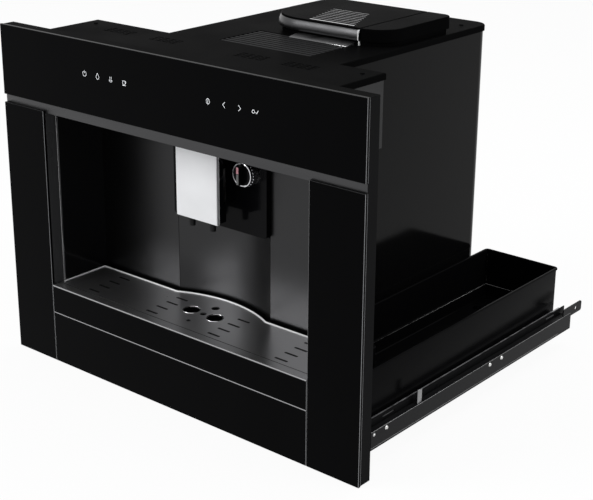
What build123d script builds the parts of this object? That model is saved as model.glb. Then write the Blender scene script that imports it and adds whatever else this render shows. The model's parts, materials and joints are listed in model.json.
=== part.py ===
"""Built-in coffee machine on pull-out rails, modelled as its separate pieces (millimetres, +Z up).

Origin: middle of the niche's lower front edge, on the rear face of the fascia frame.
+X is the viewer's right, +Y points into the cabinet and the fascia faces -Y.
"""

import os

from build123d import *

os.makedirs("parts", exist_ok=True)

# ---------------------------------------------------------------- driving dimensions
# fascia
FASCIA_WIDTH = 595.0
FASCIA_HEIGHT = 455.0
LAP_BELOW = 22.0  # how far the fascia hangs below the niche floor
LAP_BAND = 25.0  # height of the solid band that seats on the cabinet's front edge
GLASS = 4.0
GLASS_CHAMFER = 0.5
FRAME_DEPTH = 18.0
FRAME_WALL = 3.0
FRAME_INSET = 0.6  # frame edge behind the glass edge
CONTROL_HEIGHT = 93.0
BAR_GAP = 11.0  # open joint between the control glass and the columns
BAR_LIP = 2.0  # the bar reaches this far below the columns' upper edge
COLUMN_WIDTH = 76.5
NICHE_LAP = 17.5  # the fascia covers this much of the cabinet beside the niche
LOWER_GLASS_HEIGHT = 71.0
TRAY_GLASS_HEIGHT = 36.8
JOINT = 0.8  # visible joint between glass plates
TRIM = 1.0

# touch board behind the control glass
BOARD_X = (-170.0, 190.0)
BOARD_HEIGHT = 68.0
BOARD = 1.6
BOARD_POST_RADIUS = 3.0
BOARD_POST = 1.4
BOARD_EDGE = 9.0  # post centre to board edge
CHIP_PLACES = (-108.0, 10.0, 104.0)
CHIP = (14.0, 1.2, 14.0)

# cavity
CAVITY_DEPTH = 78.0  # from the frame's rear face to the flat back wall
SHEET = 1.2
RECESS_HALF = 79.5  # half width of the curved middle of the back wall
RECESS_SAGITTA = 19.0
RECESS_JOINT = 0.5
SHELF_SETBACK = 4.0  # riser behind the deepest point of the curve
SHELF_LENGTH = 190.0

# dispensing block and steam valve
BLOCK_HEIGHT = 127.0
BLOCK_DEPTH = 41.0
BLOCK_PROUD = 7.0
BLOCK_WALL = 3.0
BLOCK_CORNER = 4.0
BLOCK_EAR = 16.0
VALVE_RADIUS = 13.0
VALVE_LENGTH = 30.0
KNOB_X = 54.5
KNOB_DROP = 44.5  # knob centre below the bar
KNOB_GAP = 0.5
KNOB_RADIUS = 16.0
KNOB_RING_WALL = 3.2
KNOB_DEPTH = 18.0
KNOB_CHAMFER = 0.8
GRIP_SINK = 1.0
GRIP_BAR = 4.6
GRIP_PROUD = 7.0
SPINDLE_RADIUS = 4.0
SPINDLE_LENGTH = 26.0

# spout
SPOUT_HALF = 34.5
SPOUT_FRONT = 30.0
SPOUT_DEPTH = 13.0
SPOUT_DROP = 15.0  # cover below the bar
SPOUT_HEIGHT = 94.0
SPOUT_SHEET = 1.2
SPOUT_EDGE = 2.0
HEAD_LIFT = 1.0  # dark body above the cover's lower edge
HEAD_HEIGHT = 24.0
HEAD_STEP = 5.0
NECK_HALF = 11.0
NECK_DROP = 49.0
NECK_HEIGHT = 28.0
KEEPER = 4.0
KEEPER_DEPTH = 3.0
SPOUT_DOWN = 70.0
SPOUT_UP = 12.0
NOZZLE_SPACING = 35.0
NOZZLE_SETBACK = 11.0
NOZZLE_RADIUS = 4.5
NOZZLE_TIP = 3.6
NOZZLE_BORE = 2.5
NOZZLE_LENGTH = 14.0

# drip drawer
GRID_THICKNESS = 1.5
GRID_SIDE_GAP = 1.0
GRID_REAR_GAP = 5.5
GRID_SEAM = 0.2  # between the three plates of the grid
GRID_RIM = 7.0
TUB_WALL = 2.0
TUB_SIDE_GAP = 4.0
TUB_REAR_GAP = 2.5
RIM_GAP = 0.5
SLOT_LENGTH = 19.0
SLOT_WIDTH = 2.6
SLOT_PITCH = 18.4
SLOT_ROWS = 4
FIRST_SLOT_Y = 0.6
SLOT_GROUPS = (-163.0, -54.0, 54.0, 163.0)
DRAIN_RADIUS = 11.0
DRAIN_SPACING = 41.0
DRAIN_Y = 39.0
SMALL_DRAINS = ((62.0, 5.5), (39.0, 4.5), (12.0, 3.0))  # y, radius, on the centre line

# grounds container
GROUNDS_HALF = 70.0
GROUNDS_LENGTH = 110.0
GROUNDS_DROP = 11.3  # container rim below the dispensing block
GROUNDS_WALL = 2.0
PANEL_SHEET = 1.5
PANEL_TOP_GAP = 1.5

# machine body
BODY_DROP = 15.0  # cover below the fascia's upper edge
COVER = 8.0
COVER_WALL = 2.5
COVER_OVERHANG = 2.0
COVER_RIM = 2.5
COVER_EDGE = 2.0
HOUSING_GAP = 1.0  # front housing to the niche wall
HOUSING_SHORT = 15.5  # front housing ends this far inside the cavity wall
FRONT_DEPTH = 131.0
CORE_LEFT = -141.5
CORE_RIGHT = 139.5
CORE_REAR = 460.0
CORE_CORNER_RIGHT = 20.0
CORE_CORNER_LEFT = 55.0
PANEL = 2.0
PANEL_RETURN = 12.0  # side panels run this far along the rear past their corner
VENT_SLOT = (9.0, 2.4)
VENT_PITCH = (12.0, 5.6)
VENT_COUNT = (4, 4)
VENT_PATCHES = (-197.0, -112.0, 34.0, 110.0)
VENT_Y = 96.0
REAR_VENT = (24.0, 4.0)
REAR_VENT_PITCH = (32.0, 10.0)
REAR_VENT_COUNT = (4, 9)
REAR_VENT_Z = 300.0

# ribbed insert of the cover
RIB_LEFT = -63.0
RIB_RIGHT = 86.0
RIB_FRONT = 142.0
RIB_REAR = 222.0
RIB_COUNT = 9
RIB_WIDTH = 3.4
RIB_SINK = 0.4
INSERT_SHEET = 1.5
INSERT_LAP = 4.0

# hopper lids
LID_LEFT = -66.0
LID_SPLIT = 95.0
LID_RIGHT = 136.0
LID_FRONT = 230.0
LID_REAR = 378.0
LID_HEIGHT = 16.0
LID_WALL = 2.5
LID_EDGE = 1.5
LID_JOINT = 0.6
LID_CORNER_FRONT_LEFT = 60.0
LID_CORNER_FRONT_RIGHT = 36.0
LID_CORNER_REAR_LEFT = 30.0
LID_CORNER_REAR_RIGHT = 14.0
PLINTH_HEIGHT = 6.0
PLINTH_INSET = 1.5
PLINTH_WALL = 6.0
PLINTH_REAR_INSET = 14.0
HINGE_SETBACK = 5.0
HINGE_PIN = 2.0
HINGE_LUG_RADIUS = 4.0
HINGE_LUG = 8.0
HINGE_BASE = 3.0
HINGE_CHEEK = 3.0
BEAN_HINGES = (-26.0, 65.0)
POWDER_HINGES = (113.0,)

# bean hopper
HOPPER_LEFT = -46.0
HOPPER_RIGHT = 46.0
HOPPER_DEPTH = 90.0
HOPPER_REAR = 354.0
HOPPER_WALL = 2.0
HOPPER_FLANGE = 1.5
HOPPER_LAP = 3.0
HOPPER_COLLAR = 13.0  # straight wall below the cover
THROAT_LENGTH = 6.0
THROAT_RADIUS = 30.0
CHUTE_LEFT = 102.0
CHUTE_RIGHT = 124.0
CHUTE_DEPTH = 50.0
CHUTE_REAR = 340.0
CHUTE_LENGTH = 58.0
FIT = 0.2  # gap around a piece that drops into an opening

# grinder
GRINDER_Y = 322.0
GRINDER_RADIUS = 46.0
GRINDER_DROP = 78.0  # grinder below the cover
GRINDER_HEIGHT = 54.0
GRINDER_FLOOR = 10.0
GRINDER_PLATE = 4.0
GRINDER_PLATE_HALF = 34.0
BURR_RADIUS = 25.0
BURR_HEIGHT = 12.0
BURR_LIFT = 4.0
SHAFT_RADIUS = 4.0
SHAFT_ENTRY = 20.0
MOTOR_RADIUS = 36.0
MOTOR_HEIGHT = 92.0
DIAL_X = 78.0
DIAL_Y = 270.0
DIAL_RADIUS = 11.0
DIAL_HEIGHT = 5.5
DIAL_STEM = 3.0
DIAL_STEM_LENGTH = 14.0

# brewing unit
BREW_HALF = 45.0
BREW_FRONT = 212.0
BREW_DEPTH = 70.0
BREW_HEIGHT = 154.0
BREW_BORE = 22.0
BREW_FLOOR = 39.0
PISTON_LIFT = 20.0
PISTON_HEIGHT = 12.0
ROD_RADIUS = 6.0
ROD_LENGTH = 46.0

# boiler, pump, control board, power inlet
BOILER_X = -100.0
BOILER_Y = 190.0
BOILER_RADIUS = 30.0
BOILER_BOTTOM = 160.0
BOILER_HEIGHT = 110.0
BOILER_BRACKET = (30.0, 50.0)
PUMP_X = -108.0
PUMP_FRONT = 292.0
PUMP_LENGTH = 80.0
PUMP_RADIUS = 20.0
PUMP_CAP_HALF = 24.0
PUMP_CAP = 6.0
PUMP_HEIGHT = 52.0
MAIN_BOARD_Y = (260.0, 400.0)
MAIN_BOARD_Z = (170.0, 275.0)
STANDOFF = 5.0
STANDOFF_RADIUS = 3.0
STANDOFF_EDGE = 8.0
PART_PLACES = (285.0, 330.0, 375.0)
PART = (16.0, 26.0, 34.0)
INLET_X = -45.0
INLET_Z = 45.0
INLET_HALF = (13.0, 15.0)
INLET_WALL = 3.0
INLET_DEPTH = 35.0
INLET_SOCKET = 27.0
INLET_FLANGE = 4.0
INLET_FLANGE_SHEET = 2.5
CONTACT = (2.0, 18.0, 6.0)
CONTACT_SPACING = 7.0

# chassis and rails
RAIL_SPACE = 12.5  # machine side to niche wall
BASE_BOTTOM = 4.0
BASE_SHEET = 2.0
BASE_REAR = 478.0
BASE_REAR_HEIGHT = 16.0
FLANGE_TOP = 31.0
RAIL_FRONT = 24.0
RAIL_REAR = 489.0
RAIL_HEIGHT = 23.6
RAIL_SHEET = 1.8
RAIL_FLANGE = 8.0
SLIDE_GAP = 0.4
SLIDE_END = 2.0
MIDDLE_SLIDE = 3.6
GROOVE = 1.8
GROOVE_LIP = 2.4
RUNNER_WEB = 1.5
RUNNER_SLOTS = (73.0, 451.0)
RUNNER_SLOT = (24.0, 2.4)
RUNNER_SLOT_DROP = 5.0
TAB_REACH = 29.0
TAB_OVERLAP = 21.0
TAB_BOTTOM = 19.0
TAB_HEIGHT = 14.5
TAB_CORNER = 3.0
TAB_HOLE = 3.0
TAB_HOLE_FROM_END = 15.0
RIVET_RADIUS = 2.2
RIVET_DROP = 4.6
RIVET_PLACES = (30.0, 54.0, 279.0, 307.0)

# water tank
TANK_CORE_GAP = 7.5
TANK_SIDE_GAP = 1.2
TANK_FRONT = 100.0
TANK_WALL_GAP = 3.8  # nose to the cavity wall
TANK_NOSE_FRONT = 24.0
TANK_REAR_GAP = 4.0
TANK_BOTTOM = 20.0
TANK_TOP = 92.0
TANK_WALL = 2.2
TANK_LEDGE = 40.0  # height of the ledge inside
TANK_LEDGE_WIDTH = 3.0
TANK_RIM = 1.5
TANK_RIM_HEIGHT = 3.0
TANK_CORNER = 6.0
TANK_PAD_RADIUS = 6.0
TANK_PAD_INSET = 18.0
OUTLET_X = 170.0
OUTLET_INSET = 54.0
OUTLET_RADIUS = 6.0
OUTLET_BORE = 3.0
OUTLET_REACH = 8.0
SOCKET_RADIUS = 10.0
SOCKET_FLOOR = 2.0
HOSE_Z = 14.0
HOSE_RADIUS = 4.0
HOSE_BORE = 2.5
HOSE_BEND = 25.0
NIPPLE_RADIUS = 2.4
NIPPLE_LENGTH = 8.0
HOSE_HOLE_GAP = 1.0

CLEAR = 0.3  # gap between pieces that move past each other
RUNNING = 0.05  # radial clearance of a shaft in its hole

# ---------------------------------------------------------------- derived places
HALF = FASCIA_WIDTH / 2
FRAME_HALF = HALF - FRAME_INSET
FRAME_FACE = -FRAME_DEPTH
GLASS_Y = (FRAME_FACE - GLASS, FRAME_FACE)
NICHE_HALF = HALF - NICHE_LAP
BASE_HALF = NICHE_HALF - RAIL_SPACE
Z_LOW = -LAP_BELOW
Z_HIGH = FASCIA_HEIGHT - LAP_BELOW
CONTROL_BOTTOM = Z_HIGH - CONTROL_HEIGHT
COLUMN_TOP = CONTROL_BOTTOM - BAR_GAP
BAR_BOTTOM = COLUMN_TOP - BAR_LIP
OPENING_HALF = HALF - COLUMN_WIDTH
LOWER_TOP = Z_LOW + LOWER_GLASS_HEIGHT
TRIM_BOTTOM = LOWER_TOP + CLEAR
TRAY_GLASS_BOTTOM = TRIM_BOTTOM + TRIM
TRAY_GLASS_TOP = TRAY_GLASS_BOTTOM + TRAY_GLASS_HEIGHT
GRID_BOTTOM = TRAY_GLASS_TOP + CLEAR
GRID_TOP = GRID_BOTTOM + GRID_THICKNESS
DECK_TOP = LOWER_TOP
DECK_BOTTOM = DECK_TOP - SHEET
TUB_BOTTOM = DECK_TOP + CLEAR
LAP_TOP = Z_LOW + LAP_BAND
BASE_TOP = BASE_BOTTOM + BASE_SHEET
CAVITY_BACK = CAVITY_DEPTH + SHEET
CEILING_TOP = BAR_BOTTOM + SHEET
BLOCK_FRONT = CAVITY_DEPTH - BLOCK_PROUD
BLOCK_HALF = RECESS_HALF - RECESS_JOINT
RECESS_RADIUS = (RECESS_HALF**2 + RECESS_SAGITTA**2) / (2 * RECESS_SAGITTA)
ARC_CENTRE_Y = CAVITY_DEPTH + RECESS_SAGITTA - RECESS_RADIUS
SHELF_Y = CAVITY_DEPTH + RECESS_SAGITTA + SHELF_SETBACK
SHELF_REAR = SHELF_Y + SHELF_LENGTH
SHELF_TOP = GRID_TOP + GRID_THICKNESS
GROUNDS_BOTTOM = SHELF_TOP + CLEAR
BLOCK_BOTTOM = BAR_BOTTOM - BLOCK_HEIGHT
KNOB_Z = BAR_BOTTOM - KNOB_DROP
SPOUT_BOTTOM = BAR_BOTTOM - SPOUT_DROP - SPOUT_HEIGHT
NECK_BOTTOM = BAR_BOTTOM - NECK_DROP
BODY_TOP = Z_HIGH - BODY_DROP
FRONT_LEFT = HOUSING_GAP - NICHE_HALF
FRONT_RIGHT = OPENING_HALF - HOUSING_SHORT
HOPPER_FRONT = HOPPER_REAR - HOPPER_DEPTH
HOPPER_SHOULDER = BODY_TOP - HOPPER_COLLAR
CHUTE_FRONT = CHUTE_REAR - CHUTE_DEPTH
GRINDER_TOP = BODY_TOP - GRINDER_DROP
GRINDER_BOTTOM = GRINDER_TOP - GRINDER_HEIGHT
THROAT_TOP = GRINDER_TOP + THROAT_LENGTH
TANK_LEFT = CORE_RIGHT + TANK_CORE_GAP
TANK_RIGHT = BASE_HALF - BASE_SHEET - TANK_SIDE_GAP
TANK_NOSE_LEFT = OPENING_HALF + SHEET + TANK_WALL_GAP
TANK_REAR = BASE_REAR - TANK_REAR_GAP
OUTLET_Y = TANK_REAR - OUTLET_INSET
COVER_BOTTOM = BODY_TOP - COVER
COVER_CEILING = BODY_TOP - COVER_WALL
PLINTH_TOP = BODY_TOP + PLINTH_HEIGHT
LID_BOTTOM = PLINTH_TOP + CLEAR
LID_TOP = LID_BOTTOM + LID_HEIGHT
HINGE_Y = LID_REAR - HINGE_SETBACK
HINGE_Z = LID_BOTTOM + HINGE_SETBACK
SIDES = (("left", -1), ("right", 1))
OUTWARD = (Align.CENTER, Align.CENTER, Align.MIN)


def block(x, y, z, mode=Mode.ADD):
    """Add or cut a box given as (low, high) pairs."""
    with Locations(((x[0] + x[1]) / 2, (y[0] + y[1]) / 2, (z[0] + z[1]) / 2)):
        Box(x[1] - x[0], y[1] - y[0], z[1] - z[0], mode=mode)


def column(x, y, radius, z, mode=Mode.ADD):
    """Add or cut a cylinder along Z over the (low, high) pair z."""
    with Locations((x, y, z[0])):
        Cylinder(radius, z[1] - z[0], align=OUTWARD, mode=mode)


def spindle(x, z, radius, y, mode=Mode.ADD):
    """Add or cut a cylinder along Y over the (low, high) pair y."""
    with Locations(Plane((x, y[0], z), x_dir=(1, 0, 0), z_dir=(0, 1, 0))):
        Cylinder(radius, y[1] - y[0], align=OUTWARD, mode=mode)


def crosspin(y, z, radius, x, mode=Mode.ADD):
    """Add or cut a cylinder along X over the (low, high) pair x."""
    with Locations(Plane((x[0], y, z), x_dir=(0, 1, 0), z_dir=(1, 0, 0))):
        Cylinder(radius, x[1] - x[0], align=OUTWARD, mode=mode)


def mirrored(sign, low, high):
    """X span (low, high) on the right, or its mirror image on the left."""
    return (low, high) if sign > 0 else (-high, -low)


def around(centre, half):
    """Span of half a width to both sides of a centre."""
    return (centre - half, centre + half)


def finish(piece, name):
    """Label a finished piece and write it out."""
    piece.part.label = name
    export_step(piece.part, f"parts/{name}.step")


# ---------------------------------------------------------------- cabinet rails, fixed to the niche walls
RAIL_WEB = (NICHE_HALF - RAIL_SHEET, NICHE_HALF)
RAIL_LENGTH = (RAIL_FRONT, RAIL_REAR)
TAB_END = RAIL_REAR + TAB_REACH
TAB_MIDDLE = TAB_BOTTOM + TAB_HEIGHT / 2
RIVET_Z = RAIL_HEIGHT - RIVET_DROP

for side, sign in SIDES:
    web = mirrored(sign, *RAIL_WEB)
    flange = mirrored(sign, NICHE_HALF - RAIL_FLANGE, RAIL_WEB[0])
    with BuildPart() as cabinet_rail:
        block(web, RAIL_LENGTH, (0, RAIL_HEIGHT))
        for low in (0, RAIL_HEIGHT - RAIL_SHEET):
            block(flange, RAIL_LENGTH, (low, low + RAIL_SHEET))
        block(web, (RAIL_REAR - TAB_OVERLAP, TAB_END), (TAB_BOTTOM, TAB_BOTTOM + TAB_HEIGHT))
        fillet(cabinet_rail.edges().filter_by(Axis.X).group_by(Axis.Y)[-1], TAB_CORNER)
        crosspin(TAB_END - TAB_HOLE_FROM_END, TAB_MIDDLE, TAB_HOLE, web, Mode.SUBTRACT)
        for place in RIVET_PLACES:
            crosspin(place, RIVET_Z, RIVET_RADIUS, web, Mode.SUBTRACT)
    finish(cabinet_rail, f"cabinet_rail_{side}")

with BuildPart() as rail_rivets:
    for side, sign in SIDES:
        for place in RIVET_PLACES:
            crosspin(place, RIVET_Z, RIVET_RADIUS, mirrored(sign, *RAIL_WEB))
finish(rail_rivets, "rail_rivets")

# ---------------------------------------------------------------- middle slides
MIDDLE_OUTER = RAIL_WEB[0] - SLIDE_GAP
MIDDLE_INNER = MIDDLE_OUTER - MIDDLE_SLIDE
MIDDLE_Z = (RAIL_SHEET + SLIDE_GAP, RAIL_HEIGHT - RAIL_SHEET - SLIDE_GAP)
GROOVE_Z = (MIDDLE_Z[0] + GROOVE_LIP, MIDDLE_Z[1] - GROOVE_LIP)
MIDDLE_LENGTH = (RAIL_FRONT + SLIDE_END, RAIL_REAR - SLIDE_END)

for side, sign in SIDES:
    with BuildPart() as middle_slide:
        block(mirrored(sign, MIDDLE_INNER, MIDDLE_OUTER), MIDDLE_LENGTH, MIDDLE_Z)
        groove = mirrored(sign, MIDDLE_INNER, MIDDLE_INNER + GROOVE)
        block(groove, MIDDLE_LENGTH, GROOVE_Z, Mode.SUBTRACT)
    finish(middle_slide, f"middle_slide_{side}")

# ---------------------------------------------------------------- runners and chassis base of the machine
RUNNER_Z = (GROOVE_Z[0] + SLIDE_GAP, GROOVE_Z[1] - SLIDE_GAP)

for side, sign in SIDES:
    web = mirrored(sign, BASE_HALF, BASE_HALF + RUNNER_WEB)
    with BuildPart() as runner:
        block(mirrored(sign, BASE_HALF, MIDDLE_INNER + GROOVE - SLIDE_GAP), RAIL_LENGTH, RUNNER_Z)
        block(web, (0, RAIL_REAR), (RUNNER_Z[0], FLANGE_TOP))
        for place in RUNNER_SLOTS:
            slot_z = around(FLANGE_TOP - RUNNER_SLOT_DROP, RUNNER_SLOT[1] / 2)
            block(web, around(place, RUNNER_SLOT[0] / 2), slot_z, Mode.SUBTRACT)
    finish(runner, f"runner_{side}")

with BuildPart() as chassis_base:
    inner_half = BASE_HALF - BASE_SHEET
    block((-BASE_HALF, BASE_HALF), (0, BASE_REAR), (BASE_BOTTOM, BASE_TOP))
    for side, sign in SIDES:
        block(mirrored(sign, inner_half, BASE_HALF), (0, BASE_REAR), (BASE_BOTTOM, FLANGE_TOP))
    block((-OPENING_HALF, OPENING_HALF), (0, BASE_SHEET), (BASE_BOTTOM, DECK_BOTTOM))
    rear_y = (BASE_REAR - BASE_SHEET, BASE_REAR)
    block((-BASE_HALF, BASE_HALF), rear_y, (BASE_BOTTOM, BASE_BOTTOM + BASE_REAR_HEIGHT))
    for pad_x in (TANK_LEFT + TANK_PAD_INSET, TANK_RIGHT - TANK_PAD_INSET):
        for pad_y in (TANK_FRONT + TANK_PAD_INSET, TANK_REAR - TANK_PAD_INSET):
            column(pad_x, pad_y, TANK_PAD_RADIUS, (BASE_TOP, TANK_BOTTOM - CLEAR))
finish(chassis_base, "chassis_base")

# ---------------------------------------------------------------- fascia frame, open to the rear
FRAME_Y = (FRAME_FACE, 0)
POCKET_Y = (FRAME_FACE + FRAME_WALL, 0)
FRAME_LOW = Z_LOW + FRAME_INSET
FRAME_HIGH = Z_HIGH - FRAME_INSET
BOARD_Y = (POCKET_Y[0] + BOARD_POST, POCKET_Y[0] + BOARD_POST + BOARD)
BOARD_MIDDLE_Z = (CONTROL_BOTTOM + Z_HIGH) / 2
BOARD_Z = around(BOARD_MIDDLE_Z, BOARD_HEIGHT / 2)

with BuildPart() as fascia_top:
    block((-FRAME_HALF, FRAME_HALF), FRAME_Y, (BAR_BOTTOM, FRAME_HIGH))
    pocket_half = FRAME_HALF - FRAME_WALL
    pocket_z = (BAR_BOTTOM + FRAME_WALL, FRAME_HIGH - FRAME_WALL)
    block((-pocket_half, pocket_half), POCKET_Y, pocket_z, Mode.SUBTRACT)
    for post_x in (BOARD_X[0] + BOARD_EDGE, BOARD_X[1] - BOARD_EDGE):
        for post_z in (BOARD_Z[0] + BOARD_EDGE, BOARD_Z[1] - BOARD_EDGE):
            spindle(post_x, post_z, BOARD_POST_RADIUS, (POCKET_Y[0], BOARD_Y[0]))
finish(fascia_top, "fascia_top")

for side, sign in SIDES:
    with BuildPart() as fascia_column:
        block(mirrored(sign, OPENING_HALF, FRAME_HALF), FRAME_Y, (FRAME_LOW, BAR_BOTTOM))
        pocket_x = mirrored(sign, OPENING_HALF + FRAME_WALL, FRAME_HALF - FRAME_WALL)
        block(pocket_x, POCKET_Y, (LAP_TOP, BAR_BOTTOM - FRAME_WALL), Mode.SUBTRACT)
    finish(fascia_column, f"fascia_{side}")

with BuildPart() as fascia_bottom:
    block((-OPENING_HALF, OPENING_HALF), FRAME_Y, (FRAME_LOW, DECK_BOTTOM))
    pocket_half = OPENING_HALF - FRAME_WALL
    block((-pocket_half, pocket_half), POCKET_Y, (LAP_TOP, DECK_BOTTOM - FRAME_WALL), Mode.SUBTRACT)
    block((-OPENING_HALF, OPENING_HALF), (-CLEAR, 0), (LAP_TOP, DECK_BOTTOM), Mode.SUBTRACT)
finish(fascia_bottom, "fascia_bottom")

# ---------------------------------------------------------------- glass plates
PLATE_HALF = OPENING_HALF - JOINT


def glass_plate(name, x, z):
    """Flat glass plate in front of the frame, with ground front edges."""
    with BuildPart() as plate:
        block(x, GLASS_Y, z)
        chamfer(plate.faces().sort_by(Axis.Y)[0].edges(), GLASS_CHAMFER)
    finish(plate, name)


glass_plate("control_glass", (-HALF, HALF), (CONTROL_BOTTOM, Z_HIGH))
for side, sign in SIDES:
    glass_plate(f"{side}_column_glass", mirrored(sign, OPENING_HALF, HALF), (Z_LOW, COLUMN_TOP))
glass_plate("lower_glass", (-PLATE_HALF, PLATE_HALF), (Z_LOW, LOWER_TOP))
glass_plate("tray_glass", (-PLATE_HALF, PLATE_HALF), (TRAY_GLASS_BOTTOM, TRAY_GLASS_TOP))

with BuildPart() as touch_board:
    block(BOARD_X, BOARD_Y, BOARD_Z)
    for chip_x in CHIP_PLACES:
        chip_y = (BOARD_Y[1], BOARD_Y[1] + CHIP[1])
        block(around(chip_x, CHIP[0] / 2), chip_y, around(BOARD_MIDDLE_Z, CHIP[2] / 2))
finish(touch_board, "touch_board")

# ---------------------------------------------------------------- cavity sheets and tray deck
for side, sign in SIDES:
    with BuildPart() as cavity_wall:
        wall_x = mirrored(sign, OPENING_HALF, OPENING_HALF + SHEET)
        block(wall_x, (0, CAVITY_BACK), (DECK_BOTTOM, BAR_BOTTOM))
    finish(cavity_wall, f"cavity_{side}_wall")

    with BuildPart() as cavity_back:
        back_x = mirrored(sign, RECESS_HALF, OPENING_HALF)
        block(back_x, (CAVITY_DEPTH, CAVITY_BACK), (DECK_TOP, BAR_BOTTOM))
    finish(cavity_back, f"cavity_back_{side}")

with BuildPart() as cavity_ceiling:
    ceiling_half = OPENING_HALF + SHEET
    block((-ceiling_half, ceiling_half), (0, CAVITY_BACK), (BAR_BOTTOM, CEILING_TOP))
finish(cavity_ceiling, "cavity_ceiling")

with BuildPart() as tray_deck:
    shelf_half = RECESS_HALF + SHEET
    riser_y = (SHELF_Y - SHEET, SHELF_Y)
    block((-OPENING_HALF, OPENING_HALF), (FRAME_FACE, CAVITY_BACK), (DECK_BOTTOM, DECK_TOP))
    block((-shelf_half, shelf_half), (CAVITY_BACK, SHELF_Y), (DECK_BOTTOM, DECK_TOP))
    block((-shelf_half, shelf_half), riser_y, (DECK_BOTTOM, SHELF_TOP))
    block((-shelf_half, shelf_half), (SHELF_Y, SHELF_REAR), (SHELF_TOP - SHEET, SHELF_TOP))
    for side, sign in SIDES:
        cheek = mirrored(sign, RECESS_HALF, shelf_half)
        block(cheek, (CAVITY_BACK, SHELF_Y), (DECK_BOTTOM, SHELF_TOP))
        block(cheek, (SHELF_Y, SHELF_REAR), (BASE_TOP, SHELF_TOP))
finish(tray_deck, "tray_deck")

# ---------------------------------------------------------------- dispensing block and steam valve
BLOCK_INSIDE = BLOCK_FRONT + BLOCK_WALL
KNOB_REAR = BLOCK_FRONT - KNOB_GAP
SPINDLE_END = KNOB_REAR + SPINDLE_LENGTH

with BuildPart() as dispenser_block:
    block((-BLOCK_HALF, BLOCK_HALF), (BLOCK_FRONT, BLOCK_FRONT + BLOCK_DEPTH), (BLOCK_BOTTOM, BAR_BOTTOM))
    fillet(dispenser_block.edges().filter_by(Axis.Y).group_by(Axis.Z)[0], BLOCK_CORNER)
    inner_half = BLOCK_HALF - BLOCK_WALL
    inner_z = (BLOCK_BOTTOM + BLOCK_WALL, BAR_BOTTOM - BLOCK_WALL)
    block((-inner_half, inner_half), (BLOCK_INSIDE, BLOCK_FRONT + BLOCK_DEPTH), inner_z, Mode.SUBTRACT)
    for side, sign in SIDES:
        ear = mirrored(sign, inner_half, BLOCK_HALF + BLOCK_EAR)
        block(ear, (CAVITY_BACK, CAVITY_BACK + BLOCK_WALL), (BLOCK_BOTTOM + BLOCK_CORNER, BAR_BOTTOM))
    slot_half = NECK_HALF + CLEAR
    slot_z = (NECK_BOTTOM - SPOUT_DOWN - CLEAR, NECK_BOTTOM + NECK_HEIGHT + SPOUT_UP + CLEAR)
    block((-slot_half, slot_half), (BLOCK_FRONT, BLOCK_INSIDE), slot_z, Mode.SUBTRACT)
    spindle(KNOB_X, KNOB_Z, SPINDLE_RADIUS + RUNNING, (BLOCK_FRONT, BLOCK_INSIDE), Mode.SUBTRACT)
finish(dispenser_block, "dispenser_block")

with BuildPart() as steam_valve:
    spindle(KNOB_X, KNOB_Z, VALVE_RADIUS, (BLOCK_INSIDE, BLOCK_INSIDE + VALVE_LENGTH))
    spindle(KNOB_X, KNOB_Z, SPINDLE_RADIUS + RUNNING, (BLOCK_INSIDE, SPINDLE_END + CLEAR), Mode.SUBTRACT)
finish(steam_valve, "steam_valve")

# ---------------------------------------------------------------- steam knob
KNOB_FRONT = KNOB_REAR - KNOB_DEPTH
GRIP_RADIUS = KNOB_RADIUS - KNOB_RING_WALL

with BuildPart() as knob_ring:
    spindle(KNOB_X, KNOB_Z, KNOB_RADIUS, (KNOB_FRONT, KNOB_REAR))
    spindle(KNOB_X, KNOB_Z, GRIP_RADIUS, (KNOB_FRONT, KNOB_REAR), Mode.SUBTRACT)
    chamfer(knob_ring.faces().sort_by(Axis.Y)[0].edges(), KNOB_CHAMFER)
finish(knob_ring, "knob_ring")

with BuildPart() as knob_grip:
    spindle(KNOB_X, KNOB_Z, GRIP_RADIUS - RUNNING, (KNOB_FRONT + GRIP_SINK, KNOB_REAR))
    spindle(KNOB_X, KNOB_Z, SPINDLE_RADIUS, (KNOB_REAR, SPINDLE_END))
    with BuildSketch(Plane.XZ.offset(-KNOB_FRONT - GRIP_SINK)):
        with Locations((KNOB_X, KNOB_Z)):
            SlotOverall(2 * GRIP_RADIUS - GRIP_BAR / 2, GRIP_BAR, rotation=90)
    extrude(amount=GRIP_SINK + GRIP_PROUD)
finish(knob_grip, "knob_grip")

# ---------------------------------------------------------------- spout
SPOUT_Z = (SPOUT_BOTTOM, SPOUT_BOTTOM + SPOUT_HEIGHT)
SPOUT_REAR = SPOUT_FRONT + SPOUT_DEPTH
BODY_HALF = SPOUT_HALF - SPOUT_SHEET
HEAD_BOTTOM = SPOUT_BOTTOM + HEAD_LIFT
NOZZLE_Y = SPOUT_FRONT + NOZZLE_SETBACK
NOZZLE_PLACES = (-NOZZLE_SPACING / 2, NOZZLE_SPACING / 2)

with BuildPart() as spout_cover:
    block((-SPOUT_HALF, SPOUT_HALF), (SPOUT_FRONT, SPOUT_REAR), SPOUT_Z)
    fillet(spout_cover.edges().filter_by(Axis.Z).group_by(Axis.Y)[0], SPOUT_EDGE)
    block((-BODY_HALF, BODY_HALF), (SPOUT_FRONT + SPOUT_SHEET, SPOUT_REAR), SPOUT_Z, Mode.SUBTRACT)
finish(spout_cover, "spout_cover")

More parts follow.
